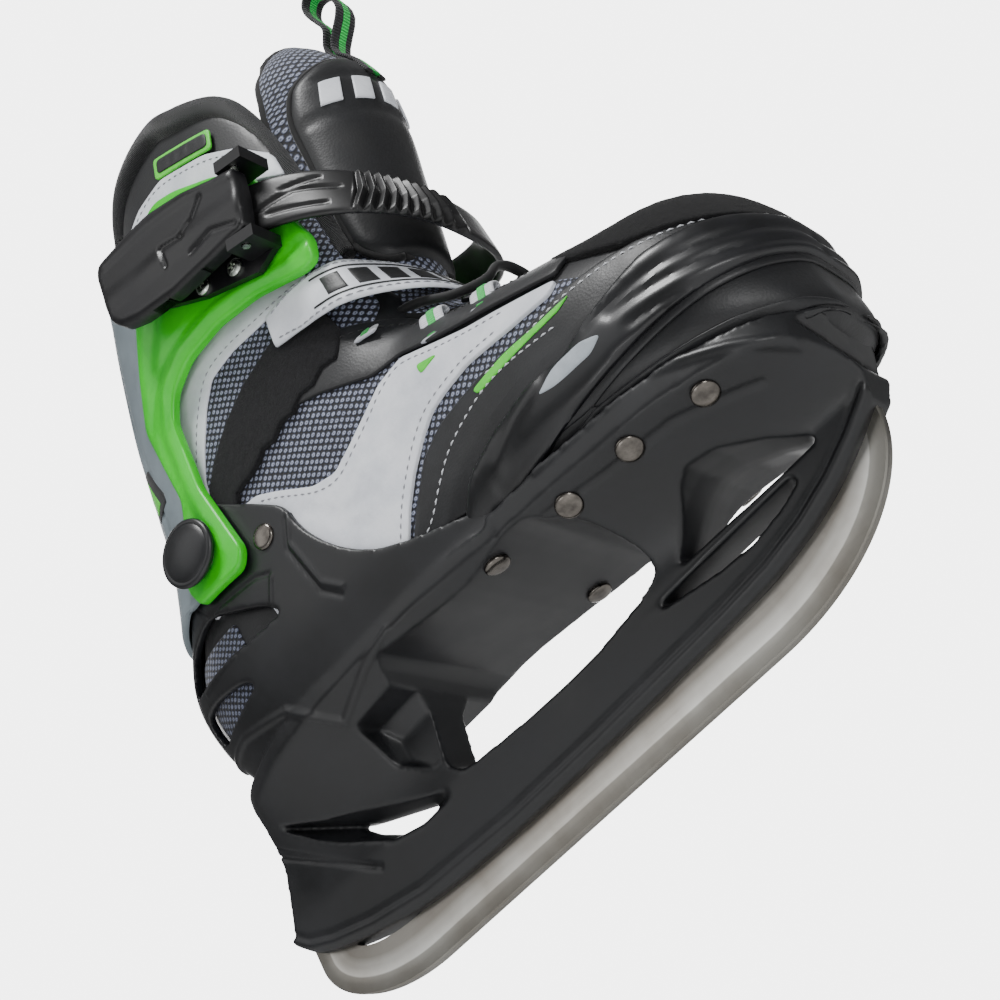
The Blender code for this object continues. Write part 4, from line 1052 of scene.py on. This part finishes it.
make_frames()
make_cuff_shell()
make_pivots()
make_cuff_strap()
make_lever()
make_screws()
for node in ("buckle_base", "buckle_pawl"):
    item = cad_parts[node]
    item.data.materials.clear()
    item.data.materials.append(BUCKLE_BLACK)
    edge = item.modifiers.new("edge", "BEVEL")
    edge.width, edge.segments, edge.angle_limit = 0.5 * MM, 2, math.radians(40)
for node in ("lever_pin", "pawl_pin", "pivot_bolt_outer", "pivot_bolt_inner"):
    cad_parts[node].data.materials.clear()
    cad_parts[node].data.materials.append(ZINC)
for node, finish in (("footbed", FOAM), ("lasting_board", BOARD)):
    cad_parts[node].data.materials.clear()
    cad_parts[node].data.materials.append(finish)


# ---------------------------------------------------------------- soft boot

BLEND_LOW, BLEND_HIGH = Vector((-10, 0, 175)), Vector((-40, 0, 235))


def dress(item, slot, *replaced):
    """Fabric wholly above the ankle follows the cuff, fabric wholly below it follows the boot, and a piece
    across the ankle stays unattached where it is. The slot is not used.
    """
    along = np.array(BLEND_HIGH - BLEND_LOW)
    share = (coordinates(item) - np.array(BLEND_LOW)) @ along / (along @ along)
    if share.max() <= 0:
        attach(item, "boot")
    elif share.min() >= 1:
        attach(item, "cuff")
    else:
        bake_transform(item)
    if replaced:
        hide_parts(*replaced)
    return item


def make_skin():
    """The boot's fabric: foot and leg in one, hollow, its rim cut to the collar's line."""
    def body(grow, floor):
        leg = loft("leg", [[leg_point(a, z, grow) for a in range(0, 360, 5)]
                           for z in range(floor, 341, 6)])
        stations = [-20, 0, 20, 40, 60, 80, 90, 100, 108, 115, 121, 127, 132, 136, 139, 142]
        foot = loft("foot", [[foot_point(x, a, grow) for a in range(-180, 180, 6)] for x in stations])
        return merge_and_smooth("boot_body", [leg, foot], BLACK_PU, 2.4, 6)

    skin = cut(body(-0.6, 86), body(-6.0, 94))
    keep = ((-150, 60), (-150, 294), (-92, 296), (-80, 300), (-72, 306.5), (-60, 319), (-45, 328), (-20, 331),
            (-8, 325), (9, 313), (17, 297), (21, 275), (22, 240), (22, 205), (26, 190), (40, 178), (60, 170),
            (160, 150), (160, 60))
    cut(skin, prism("keep", keep, -90, 90), "INTERSECT")
    skin = merge_and_smooth("boot_fabric", [skin], BLACK_PU, 1.9, 10)
    skin.data.materials.append(LINING)
    for face in skin.data.polygons:
        centre = face.center / MM
        if centre.z > 175 and leg_half(centre.x, centre.z, -3.4) > abs(centre.y):
            face.material_index = 1
    layer = skin.data.uv_layers.new(name="flat")
    for loop in skin.data.loops:
        spot = skin.data.vertices[loop.vertex_index].co
        layer.data[loop.index].uv = (spot.x, spot.z)
    return skin


def skin_tree(item):
    return BVHTree.FromPolygons([tuple(p) for p in coordinates(item)],
                                [tuple(face.vertices) for face in item.data.polygons])


SKIN_ITEM = make_skin()
SKIN = skin_tree(SKIN_ITEM)


def cast(start, direction, fallback):
    """Where a ray meets the fabric, with a normal averaged over some millimetres."""
    direction = direction.normalized()
    spot, normal = SKIN.ray_cast(start, direction)[:2]
    if spot is None or (spot - fallback).length > 30:
        spot, normal = SKIN.find_nearest(fallback)[:2]
    side = direction.orthogonal().normalized()
    total = normal.copy()
    for shift in (side, -side, direction.cross(side), -direction.cross(side)):
        near, other = SKIN.ray_cast(start + shift * 3.0, direction)[:2]
        if near is not None and (near - spot).length < 8:
            total += other
    return spot, total.normalized()


def on_side(side):
    """Places a flat (x, z) spot on the boot's outer or inner side, some height above the fabric."""
    def place(x, z, height):
        guess = Vector((x, side * 33, z))
        spot, normal = cast(Vector((x, side * 200, z)), Vector((0, -side, 0)), guess)
        return spot + normal * height
    return place


TOE_START, TOE_RADIUS = 95.0, 43.0
TOE_SPAN = 2 * TOE_START + math.pi * TOE_RADIUS


def round_toe(s, z, height):
    """Places (s, z): s is x along the outer side up to 95, then the way round the toe and back."""
    if s <= TOE_START:
        return on_side(OUTER)(s, z, height)
    if s >= TOE_SPAN - TOE_START:
        return on_side(INNER)(TOE_SPAN - s, z, height)
    angle = (s - TOE_START) / TOE_RADIUS
    out = Vector((math.sin(angle), -math.cos(angle), 0))
    middle = Vector((TOE_START, 0, z))
    spot, normal = cast(middle + out * 130, -out, middle + out * 40)
    return spot + normal * height


def toe_wrap(name, outline, low, high, material, slot, lines=(), rim=0.5, step=2.0, stitches=None,
             joined=True):
    """A panel round the toe, in one piece if joined, else one on each side."""
    flip = lambda line: [(TOE_SPAN - s, z) for s, z in line]
    if joined:
        outlines = {"": list(outline) + flip(outline)[::-1]}
    else:
        outlines = {"_outer": outline, "_inner": flip(outline)}
    both = [(way(line), width, depth) for line, width, depth in lines for way in (list, flip)]
    for label, shape in outlines.items():
        panel = plate(name + label, round_corners(shape, 2), round_toe, low, high, material, rim=rim,
                      step=step, lines=both)
        soften = panel.modifiers.new("soften", "SMOOTH")
        soften.factor, soften.iterations = 0.5, 9
        dress(bake(panel), slot)
    if stitches:
        seams, thread = stitches
        rows = [way(smooth_line(seam, 5)) for seam in seams for way in (list, flip)]
        dress(stitching(name + "_seam", rows, lambda s, z, h: round_toe(s, z, h + high - 0.05), thread), slot)


def over_toe(u, v, height):
    """Places a flat spot on the toe's crown, seen from a centre inside the toe."""
    centre = Vector((100, 0, 70))
    out = Vector((u / 60, v / 60, 1)).normalized()
    spot, normal = cast(centre + out * 130, -out, centre + out * 55)
    return spot + normal * height


def mirrored(name, outline, low, high, material, slot, lines=(), rim=0.5, step=2.4, stitches=None):
    """The same panel on both sides of the boot, with stitching along some of its lines."""
    for side, label in ((OUTER, "outer"), (INNER, "inner")):
        place = on_side(side)
        panel = plate(name + "_" + label, round_corners(outline, 2), place, low, high,
                      material, rim=rim, step=step, lines=lines)
        dress(panel, slot)
        if stitches:
            seams, thread = stitches
            rows = [smooth_line(seam, 5) for seam in seams]
            dress(stitching(name + "_seam_" + label, rows, lambda x, z, h: place(x, z, h + high - 0.05),
                            thread), slot)


def make_panels():
    # Knitted spacer mesh at the quarter and under the cuff straps
    mirrored("quarter_mesh", ((-70, 140), (-72, 178), (-60, 206), (-44, 216), (-18, 216), (6, 214), (22, 200),
                              (22, 186), (10, 172), (22, 156), (11, 150), (-8, 136), (-30, 130), (-42, 138)),
             0.1, 0.9, MESH, "white_coated_fabric")
    mirrored("ankle_mesh", ((-10, 214), (24, 208), (22, 252), (4, 262), (-20, 258), (-40, 232)),
             0.1, 0.8, MESH, "white_coated_fabric")
    mirrored("heel_mesh", ((-122, 92), (-84, 92), (-84, 130), (-110, 134), (-122, 128)), 0.1, 0.8, HEEL_MESH,
             "white_coated_fabric")
    mirrored("side_mesh", ((-14, 90), (-4, 106), (6, 117), (20, 127), (44, 130), (84, 124), (92, 116),
                           (44, 116), (12, 112), (-2, 100)), 0.1, 0.8, MESH, "white_coated_fabric")
    # White quarter panel behind the mesh, with a dark seam
    mirrored("rear_quarter", ((-92, 138), (-96, 236), (-30, 240), (10, 224), (6, 208), (1, 210), (-18, 211.5),
                              (-32, 213.5), (-45, 212.5), (-53, 205), (-62, 193), (-68, 183), (-72, 160),
                              (-70, 138)), 0.3, 1.5, WHITE_PU, "white_coated_fabric",
             stitches=([[(4, 213), (-18, 215), (-32, 217), (-46, 216), (-57, 207), (-66, 195), (-72, 183),
                         (-75, 165)]], THREAD_GREY))
    # White side overlay that runs forward from the cage into a point
    overlay = ((-58, 160), (-50, 158.5), (-42, 153), (-28, 142), (-18, 139), (-8, 143), (2, 148), (11, 153),
               (22, 155), (36, 147), (50, 139), (67, 131), (84, 123), (80, 120), (63, 122.5), (44, 127),
               (32, 127), (24, 126), (16, 122), (7, 116), (-1, 108), (-10, 96), (-14, 88), (-60, 88),
               (-66, 130))
    mirrored("side_overlay", overlay, 0.7, 2.2, WHITE_PU, "white_coated_fabric",
             lines=[([(-36, 138), (-22, 124), (-8, 122)], 2.2, -0.7), ([(-30, 128), (-14, 112)], 1.6, -0.6),
                    ([(14, 141), (30, 134), (22, 131)], 1.2, -0.5),
                    ([(-2, 124), (8, 131), (-4, 134)], 1.4, -0.6),
                    ([(24, 146), (38, 139), (56, 131)], 1.0, -0.4)],
             stitches=([[(-50, 155.5), (-42, 150), (-28, 139.3), (-18, 136.3), (-8, 140), (2, 145), (11, 150),
                         (21, 152), (35, 144.5), (50, 136.5), (66, 129)],
                        [(-12, 98), (-3, 110), (5, 118), (14, 124.5), (23, 128.5), (32, 129.5), (44, 129.3),
                         (60, 125.8)]], THREAD_GREY))
    mirrored("overlay_wedge", ((27, 145), (36, 141), (27.5, 140)), 2.0, 2.6, GREEN_PU, "green_nylon", rim=0.3,
             step=1.5)
    # Smooth black foxing with moulded grooves, a stitched edge and a green flash
    foxing = ((-9, 96), (2, 108), (12, 117), (24, 120.8), (36, 120.8), (48, 120), (63, 117.5),
              (84, 118), (100, 116), (120, 112), (140, 108), (160, 106))
    under = ((160, 66), (120, 66), (80, 70), (24, 76), (-10, 82))
    toe_wrap("foxing", under[::-1] + foxing, 0.2, 1.5, BLACK_PU, "gloss_black_tpu",
             lines=[([(3, 90), (11, 96), (18, 102), (29, 105), (44, 106), (58, 106), (74, 103), (90, 103)],
                     1.4, 0.9),
                    ([(0, 93), (8, 99), (16, 104.5), (28, 108), (44, 109), (59, 109), (76, 106)], 1.0, -0.6)],
             stitches=([[(-5, 95), (3, 99), (13, 105.5), (23, 111), (35, 114), (47, 115), (60, 113),
                         (77, 109)],
                        [(47, 118.6), (64, 115.6), (80, 115.5), (101, 113), (118, 109.5), (138, 105.5)]],
                       THREAD_WHITE))
    toe_wrap("foxing_flash", ((41, 118.4), (56, 117.6), (72, 115), (86, 114), (80, 112), (42, 115.2)),
             1.4, 1.9, GREEN_PU, "green_nylon", rim=0.3, step=1.8, joined=False)
    # Glossy rubber bumper whose ribs run round the toe
    bumper = ((8, 84), (14, 92), (24, 98), (40, 101), (58, 101.5), (74, 99.5), (92, 103), (110, 106),
              (130, 105), (150, 102), (160, 101))
    lower = ((160, 64.5), (150, 64.5), (130, 65.5), (115, 68), (100, 71), (79, 76), (54, 81.5), (24, 84))
    ribs = [([(64, 98.5), (92, 99), (112, 98), (136, 95), (163, 93.5)], 2.2, -1.4),
            ([(92, 96), (112, 93), (136, 89), (163, 87.5)], 2.2, -1.4),
            ([(96, 89), (114, 86), (136, 82), (163, 80.5)], 1.9, -1.4),
            ([(88, 84), (112, 79.5), (136, 75), (163, 73.5)], 1.9, -1.4),
            ([(30, 89), (60, 86), (90, 80), (112, 74), (136, 69.5), (163, 69)], 1.7, -0.9),
            ([(34, 92), (50, 96.5), (60, 97.5)], 2.0, 0.9)]
    toe_wrap("toe_bumper", lower[::-1] + bumper, 0.8, 4.2, BUMPER_BLACK, "gloss_black_tpu", lines=ribs,
             rim=1.8, step=1.2)
    toe_wrap("bumper_vent", ((60, 95), (69, 97.5), (81, 96.5), (88, 93), (82, 90.5), (67, 92.5)), 3.6, 4.5,
             coated_leather("vent_panel_grey", "8A9299", "A9B1B8", 0.5), "grey_nylon", rim=0.4, step=1.5,
             joined=False)
    # Black eyestay along the throat
    mirrored("eyestay", ((-30, 177), (-9, 168.5), (10, 158), (22, 157), (36, 149.5), (60, 138), (84, 126),
                         (92, 133), (76, 143), (52, 155), (34, 165), (24, 176), (10, 184), (-4, 187),
                         (-20, 184)), 1.0, 2.3, BLACK_PU, "black_air_mesh",
             stitches=([[(-20, 181), (-4, 183.5), (10, 180), (22, 173), (34, 162.5), (52, 152.5), (74, 141)]],
                       THREAD_BLACK))
    # Collar: white band, plain black label with a green edge
    mirrored("collar_band", ((-92, 262), (-92, 284), (-70, 294), (-40, 304), (-24, 304), (-2, 293), (11, 282),
                             (20, 268), (20, 256), (12, 262), (-11, 274), (-40, 279), (-66, 268)),
             0.3, 1.9, WHITE_PU, "white_coated_fabric",
             stitches=([[(-80, 287), (-60, 295), (-40, 301), (-25, 301), (-4, 290.5), (8, 280.5), (17, 268)]],
                       THREAD_GREY))
    mirrored("collar_label_edge", ((-23, 315), (5, 301), (2, 292), (-26, 305.5)), 1.4, 2.2, GREEN_PU,
             "green_nylon", rim=0.4, step=1.6)
    mirrored("collar_label", ((-21.5, 312.6), (3, 300.3), (1, 294.4), (-23.6, 306.6)), 1.8, 2.6, BLACK_PU,
             "black_air_mesh", rim=0.3, step=1.5,
             lines=[([(-18 + 5 * k, 307.6 - 2.45 * k), (-19 + 5 * k, 305.4 - 2.45 * k)], 0.8, 0.5)
                    for k in range(4)])


def make_toe_cap():
    outline = [(79, 0), (65, -31), (43, -47), (16, -51), (-2, -42), (-14, -30), (-17, -17), (-17, 0)]
    outline += [(u, -v) for u, v in outline[-2:0:-1]]
    cap = plate("toe_cap_felt", smooth_line(outline, 3, closed=True), over_toe, 0.2, 2.6,
                FELT, rim=1.2, step=2.0)
    bump = cap.modifiers.new("fibres", "DISPLACE")
    texture = bpy.data.textures.new("felt_fibres", "CLOUDS")
    texture.noise_scale = 1.6 * MM
    bump.texture, bump.strength = texture, 0.5 * MM
    bake(cap)
    dress(cap, "black_felt", "toe_cap")


def make_hook_tape():
    """Napped tape on the outer side that the strap's hooks grip; its front edge is wavy."""
    wavy = [(2 - 11.5 * k / 2, 175.5 - 2.1 * k / 2 + (1.3 if k % 2 else -0.8)) for k in range(0, 9)]
    wavy += [(-56, 165), (-60, 158)]
    outline = [(8, 184), (6, 200), (-12, 201), (-22, 199), (-34, 196.5), (-48, 190.5), (-61, 182), (-70, 172)]
    tape = plate("hook_tape", outline + wavy[::-1], on_side(OUTER), 1.4, 3.4, LOOP_TAPE, rim=0.8, step=1.8)
    bump = tape.modifiers.new("fibres", "DISPLACE")
    texture = bpy.data.textures.new("tape_loops", "CLOUDS")
    texture.noise_scale = 1.2 * MM
    bump.texture, bump.strength = texture, 0.6 * MM
    bake(tape)
    dress(tape, "black_air_mesh")
    edge = [(4.5, 196.8), (-11.5, 197.8), (-21.5, 195.8), (-33.5, 193.3), (-47.5, 187.3), (-60.5, 178.8)]
    dress(stitching("hook_tape_seam", [smooth_line(edge, 4)],
                    lambda x, z, h: on_side(OUTER)(x, z, h + 3.2), THREAD_BLACK), "black_air_mesh")


# Tongue: x, z, angle of the outward normal from +X, half width, sideways fall of the crown
TONGUE = (
    (90, 146.4, 62, 13, 3.0), (84, 148.6, 60, 14, 3.4), (77, 151.5, 58, 15, 4), (67, 156.5, 58, 16, 4.6),
    (57, 162, 58, 16.5, 5), (47, 169, 52, 17, 6), (39, 178.5, 38, 18, 9), (35.5, 189, 22, 20, 14),
    (36, 202, 8, 22, 19), (39.5, 215, 2, 24, 25), (43, 229, 0, 25.5, 29), (47, 246, -4, 26.5, 31),
    (51, 262, -6, 27.5, 32), (54, 279, -2, 29, 32), (54.5, 292, 8, 30, 31), (52, 304, 18, 30, 27),
    (47.5, 316, 28, 28, 22), (42, 325, 38, 22, 14),
)


def tongue_frame(s):
    """Centre, outward normal, half width and fall at a share of the tongue's length."""
    at = s * (len(TONGUE) - 1)
    rows = [(k,) + row for k, row in enumerate(TONGUE)]
    x, z, angle, half, fall = (read_table(rows, at, k) for k in range(1, 6))
    turn = math.radians(angle)
    return Vector((x, 0, z)), Vector((math.cos(turn), 0, math.sin(turn))), half, fall


def on_tongue(s, across, height):
    """Spot on the tongue: s is its share of the length times 200, across runs from -30 to 30."""
    centre, out, half, fall = tongue_frame(s / 200)
    a = min(max(across / 30, -1.0), 1.0)
    swing = a * math.radians(78)
    normal = (out * math.cos(swing) + Vector((0, 1, 0)) * math.sin(swing)).normalized()
    return centre + Vector((0, half * math.sin(swing) / math.sin(math.radians(78)), 0)) \
        - out * fall * (1 - math.cos(swing)) / (1 - math.cos(math.radians(78))) + normal * height


def make_tongue():
    """Padded tongue: soft crown between its bound edges, mesh outside, tricot inside."""
    rings = []
    count, rows = 26, 60
    for j in range(rows + 1):
        s = 200 * j / rows
        thick = 7.5 if s > 90 else 4.5 + 3 * s / 90
        thick *= min(1.0, 0.35 + (200 - s) / 14)
        ring = []
        for k in range(count + 1):
            a = -30 + 60 * k / count
            ring.append(on_tongue(s, a, 1.2 * (1 - (a / 30) ** 2)))
        for k in range(count, -1, -1):
            a = -30 + 60 * k / count
            ring.append(on_tongue(s, a, -thick * (0.35 + 0.65 * math.sqrt(max(0, 1 - (a / 30) ** 4)))))
        rings.append(ring)
    body = loft("tongue_padding", rings, MESH)
    layer = body.data.uv_layers.new(name="flat")
    per_ring = 2 * (count + 1)
    for loop in body.data.loops:
        row, column = divmod(loop.vertex_index, per_ring)
        across = column if column <= count else per_ring - 1 - column
        layer.data[loop.index].uv = (row * 3.6 * MM, across * 2.1 * MM)
    body.data.materials.append(LINING)
    for face in body.data.polygons:
        if all(v % per_ring > count for v in face.vertices):
            face.material_index = 1
    dress(body, "black_air_mesh", "tongue_lower", "tongue_upper")
    rim = [on_tongue(200 * j / 60, -30, -2.5) for j in range(6, 60)]
    rim += [on_tongue(200, a, -1.6) for a in range(-30, 31, 5)]
    rim += [on_tongue(200 * j / 60, 30, -2.5) for j in range(59, 5, -1)]
    dress(tube("tongue_binding", rim, 2.7, BINDING, sides=12), "black_air_mesh")
    # Coated panel on the front of the tongue, bound and padded
    front = [(96, -17), (104, -23), (150, -25), (164, -22), (171, -12), (172, 0)]
    front += [(s, -a) for s, a in front[-2::-1]]
    panel = plate("tongue_panel", round_corners(front, 4), on_tongue, 0.6, 4.2, BLACK_PU,
                  rim=3.0, step=2.2,
                  lines=[([(160, -16), (160, 16)], 1.5, -1.0), ([(146, -22), (146, 22)], 1.5, -0.8)])
    dress(panel, "black_air_mesh")
    edge = [on_tongue(s, a, 1.8) for s, a in round_corners(front, 5)]
    dress(tube("tongue_panel_binding", edge + edge[:1], 1.5, BINDING, sides=10), "black_air_mesh")
    for k in range(5):
        a = -18 + 8 * k
        bar = plate(f"tongue_bar_{k + 1}", [(149, a), (158, a + 1.5), (158, a + 6.5), (149, a + 5)],
                    on_tongue, 3.4, 4.9, WHITE_PU, rim=0.4, step=1.5)
        dress(bar, "white_coated_fabric")
    flap = plate("lower_tongue_panel", [(4, -20), (60, -22), (62, 0), (60, 22), (4, 20), (1, 0)], on_tongue,
                 0.4, 2.4, BLACK_PU, rim=1.0, step=2.4)
    dress(flap, "black_air_mesh")


def make_collar():
    """Padded roll along the boot's rim."""
    line = [(22, 212), (22, 240), (21, 272), (17, 295), (9, 311), (-8, 323), (-20, 328.5), (-45, 325.5),
            (-60, 316.5)]
    path = []
    for x, z in smooth_line(line, 8):
        path.append(Vector((x, -leg_half(x, z, -3.0), z)))
    turn = abs(leg_angle(-60, 316.5, -3.0, OUTER))
    rear = []
    for a in np.linspace(turn, 180, 12)[1:]:
        x = leg_point(-a, 308, -3.0).x
        rear.append(leg_point(-a, float(np.interp(x, (-80, -72, -60), (299, 304.5, 316.5))), -3.0))
    half = path + rear
    whole = half + [Vector((p.x, -p.y, p.z)) for p in half[::-1] if abs(p.y) > 0.5]
    reach = len(whole)
    thick = lambda s: 3.0 + 3.4 * min(1.0, max(0.0, (min(s, 1 - s) - 0.12) / 0.14))
    roll = tube("collar_roll", whole, thick, LINING, sides=18)
    layer = roll.data.uv_layers.new(name="flat")
    for loop in roll.data.loops:
        row, column = divmod(loop.vertex_index, 18)
        layer.data[loop.index].uv = (row * 700 / reach * MM, column * 2.0 * MM)
    dress(roll, "black_air_mesh")
    dress(SKIN_ITEM, "white_coated_fabric", "boot_foot", "ankle_collar", "toe_shell")


def along_path(path, normals):
    """Places (reach, across) in millimetres on a strap that follows a path."""
    reach = np.cumsum([0] + [(b - a).length for a, b in zip(path, path[1:])])
    table, outs = np.array(path), np.array(normals)

    def place(u, v, height):
        at = [float(np.interp(u, reach, table[:, k])) for k in range(3)]
        out = Vector([float(np.interp(u, reach, outs[:, k])) for k in range(3)]).normalized()
        ahead = Vector([float(np.interp(u + 1, reach, table[:, k]) - np.interp(u - 1, reach, table[:, k]))
                        for k in range(3)]).normalized()
        out = (out - ahead * out.dot(ahead)).normalized()
        return Vector(at) + ahead.cross(out) * v + out * height
    return place, float(reach[-1])


def make_instep_strap():
    route = ((-12, -39.9, 202), (0, -40.0, 200), (12, -39.7, 197), (22, -36.6, 193.5), (31, -25.5, 190),
             (37.5, -13.5, 186), (40, 0, 183.5), (37.5, 13.5, 184.5), (31, 25.5, 186), (22, 34.8, 188.5),
             (12, 37.9, 190), (0, 38.6, 190))
    path, normals = [], []
    for spot in smooth_line(route, 12):
        top = min(1.0, max(0.0, spot[0] / 40)) ** 2
        normals.append(Vector((0.85 * top + 0.08, spot[1] / 40, 0.45 * top)).normalized())
        path.append(Vector(spot) + normals[-1] * 1.6 * top)
    width = lambda s: 21 - 7 * (1 - s) ** 6
    strap = ribbon("instep_strap_band", path, normals, width, 1.8, WHITE_PU, crown=0.3, columns=14)
    mount(strap, "instep_strap", "white_coated_fabric", "instep_strap")
    place, total = along_path(path, normals)
    rows = [[(2 + k, side * (8.2 - 3.0 * max(0, 1 - k / 12))) for k in np.arange(0, total - 6, 4)]
            for side in (-1, 1)]
    seam = stitching("instep_strap_seam", rows, lambda u, v, h: place(u, v, h + 1.05), THREAD_GREY)
    mount(seam, "instep_strap", "white_coated_fabric")
    # Plain slanted bars between two thin lines
    marks = [[(22, 6.2), (84, 6.6), (84, 5.8), (22, 5.5)], [(22, -6.2), (84, -6.6), (84, -5.8), (22, -5.5)]]
    marks += [[(26 + 10.5 * k, -4.2), (33 + 10.5 * k, -4.2), (36 + 10.5 * k, 4.2), (29 + 10.5 * k, 4.2)]
              for k in range(5)]
    for k, outline in enumerate(marks):
        bar = plate(f"instep_strap_mark_{k + 1}", outline, place, 0.8, 1.45, BLACK_PU, rim=0.25, step=1.5)
        mount(bar, "instep_strap", "black_nylon")


def make_lacing():
    half = [(13, -19, 181.5), (22, -19, 182), (32, -19, 178)]
    half += [(x, -19, read_table(FOOT, x, 2) + 3.4) for x in (43, 52)]
    half += [(57.5, -17, 164), (60, -12, 169), (61, -6, 171.3), (61.2, 0, 171.8)]
    route = half + [(x, -y, z) for x, y, z in half[-2::-1]]
    path = [Vector(p) + Vector((0, 0, 0.8)) for p in smooth_line(route, 6)]
    lace = tube("lace_cord", path, 2.0, LACE_BLACK, sides=14, squash=0.8)
    dress(lace, "black_air_mesh", "lace")
    for side, label in ((OUTER, "outer"), (INNER, "inner")):
        for number, x in enumerate((56.0, 36.0, 15.0), 1):
            node = f"lace_eyelet_{label}_{number}"
            low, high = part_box(node)
            top, base = high.z / MM, low.z / MM
            spots = ((33, base - 3.0), (29, base + 1.2), (24.5, top - 0.3), (20, top + 2.4), (17, top + 1.6),
                     (16.2, top - 0.8), (17.5, top - 2.6))
            line = [Vector((x, side * y, z)) for y, z in smooth_line(spots, 6)]
            outs = [Vector((0.25, side * 0.35, 1)).normalized()] * len(line)
            for k, (wide, tone) in enumerate(((9.0, TAPE_WHITE), (3.4, TAPE_GREEN))):
                path = [p + Vector((0, 0, 0.35 * k)) for p in line]
                loop = ribbon(node + ("_webbing", "_stripe")[k], path, outs, wide, 1.3 + 0.3 * k, tone,
                              columns=8)
                dress(loop, "green_webbing", *([node] if k == 0 else []))


def make_pull_loop():
    low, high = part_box("pull_loop")
    tilt = math.radians(-8)
    up, out = Vector((math.sin(tilt), 0, math.cos(tilt))), Vector((math.cos(tilt), 0, -math.sin(tilt)))
    centre = Vector((56.7, 0, 337))
    round_top = ((5.0, -12), (5.6, 0), (4.3, 5.6), (0, 8.4), (-4.3, 5.6), (-5.4, 0), (-4.6, -12))
    spots = [on_tongue(s, 0, h) for s, h in ((162, 4.6), (172, 4.0), (184, 3.6))]
    spots += [centre + out * ahead + up * rise for ahead, rise in round_top]
    spots += [on_tongue(s, 0, h) for s, h in ((186, 1.2), (172, 2.2), (163, 2.6))]
    line = [Vector(p) for p in smooth_line([tuple(p) for p in spots], 4)]
    outs = []
    for i, p in enumerate(line):
        along = (line[min(i + 1, len(line) - 1)] - line[max(i - 1, 0)]).normalized()
        outs.append(Vector((along.z, 0, -along.x)))
    for name, wide, thick, tone in (("pull_loop_webbing", 11.0, 1.7, TAPE_BLACK),
                                    ("pull_loop_stripe", 4.2, 2.1, TAPE_GREEN)):
        loop = ribbon(name, line, outs, wide, thick, tone, columns=12)
        mount(loop, "cuff", "green_webbing", *(["pull_loop"] if tone is TAPE_BLACK else []))


make_panels()
make_toe_cap()
make_hook_tape()
make_tongue()
make_collar()
make_instep_strap()
make_lacing()
make_pull_loop()
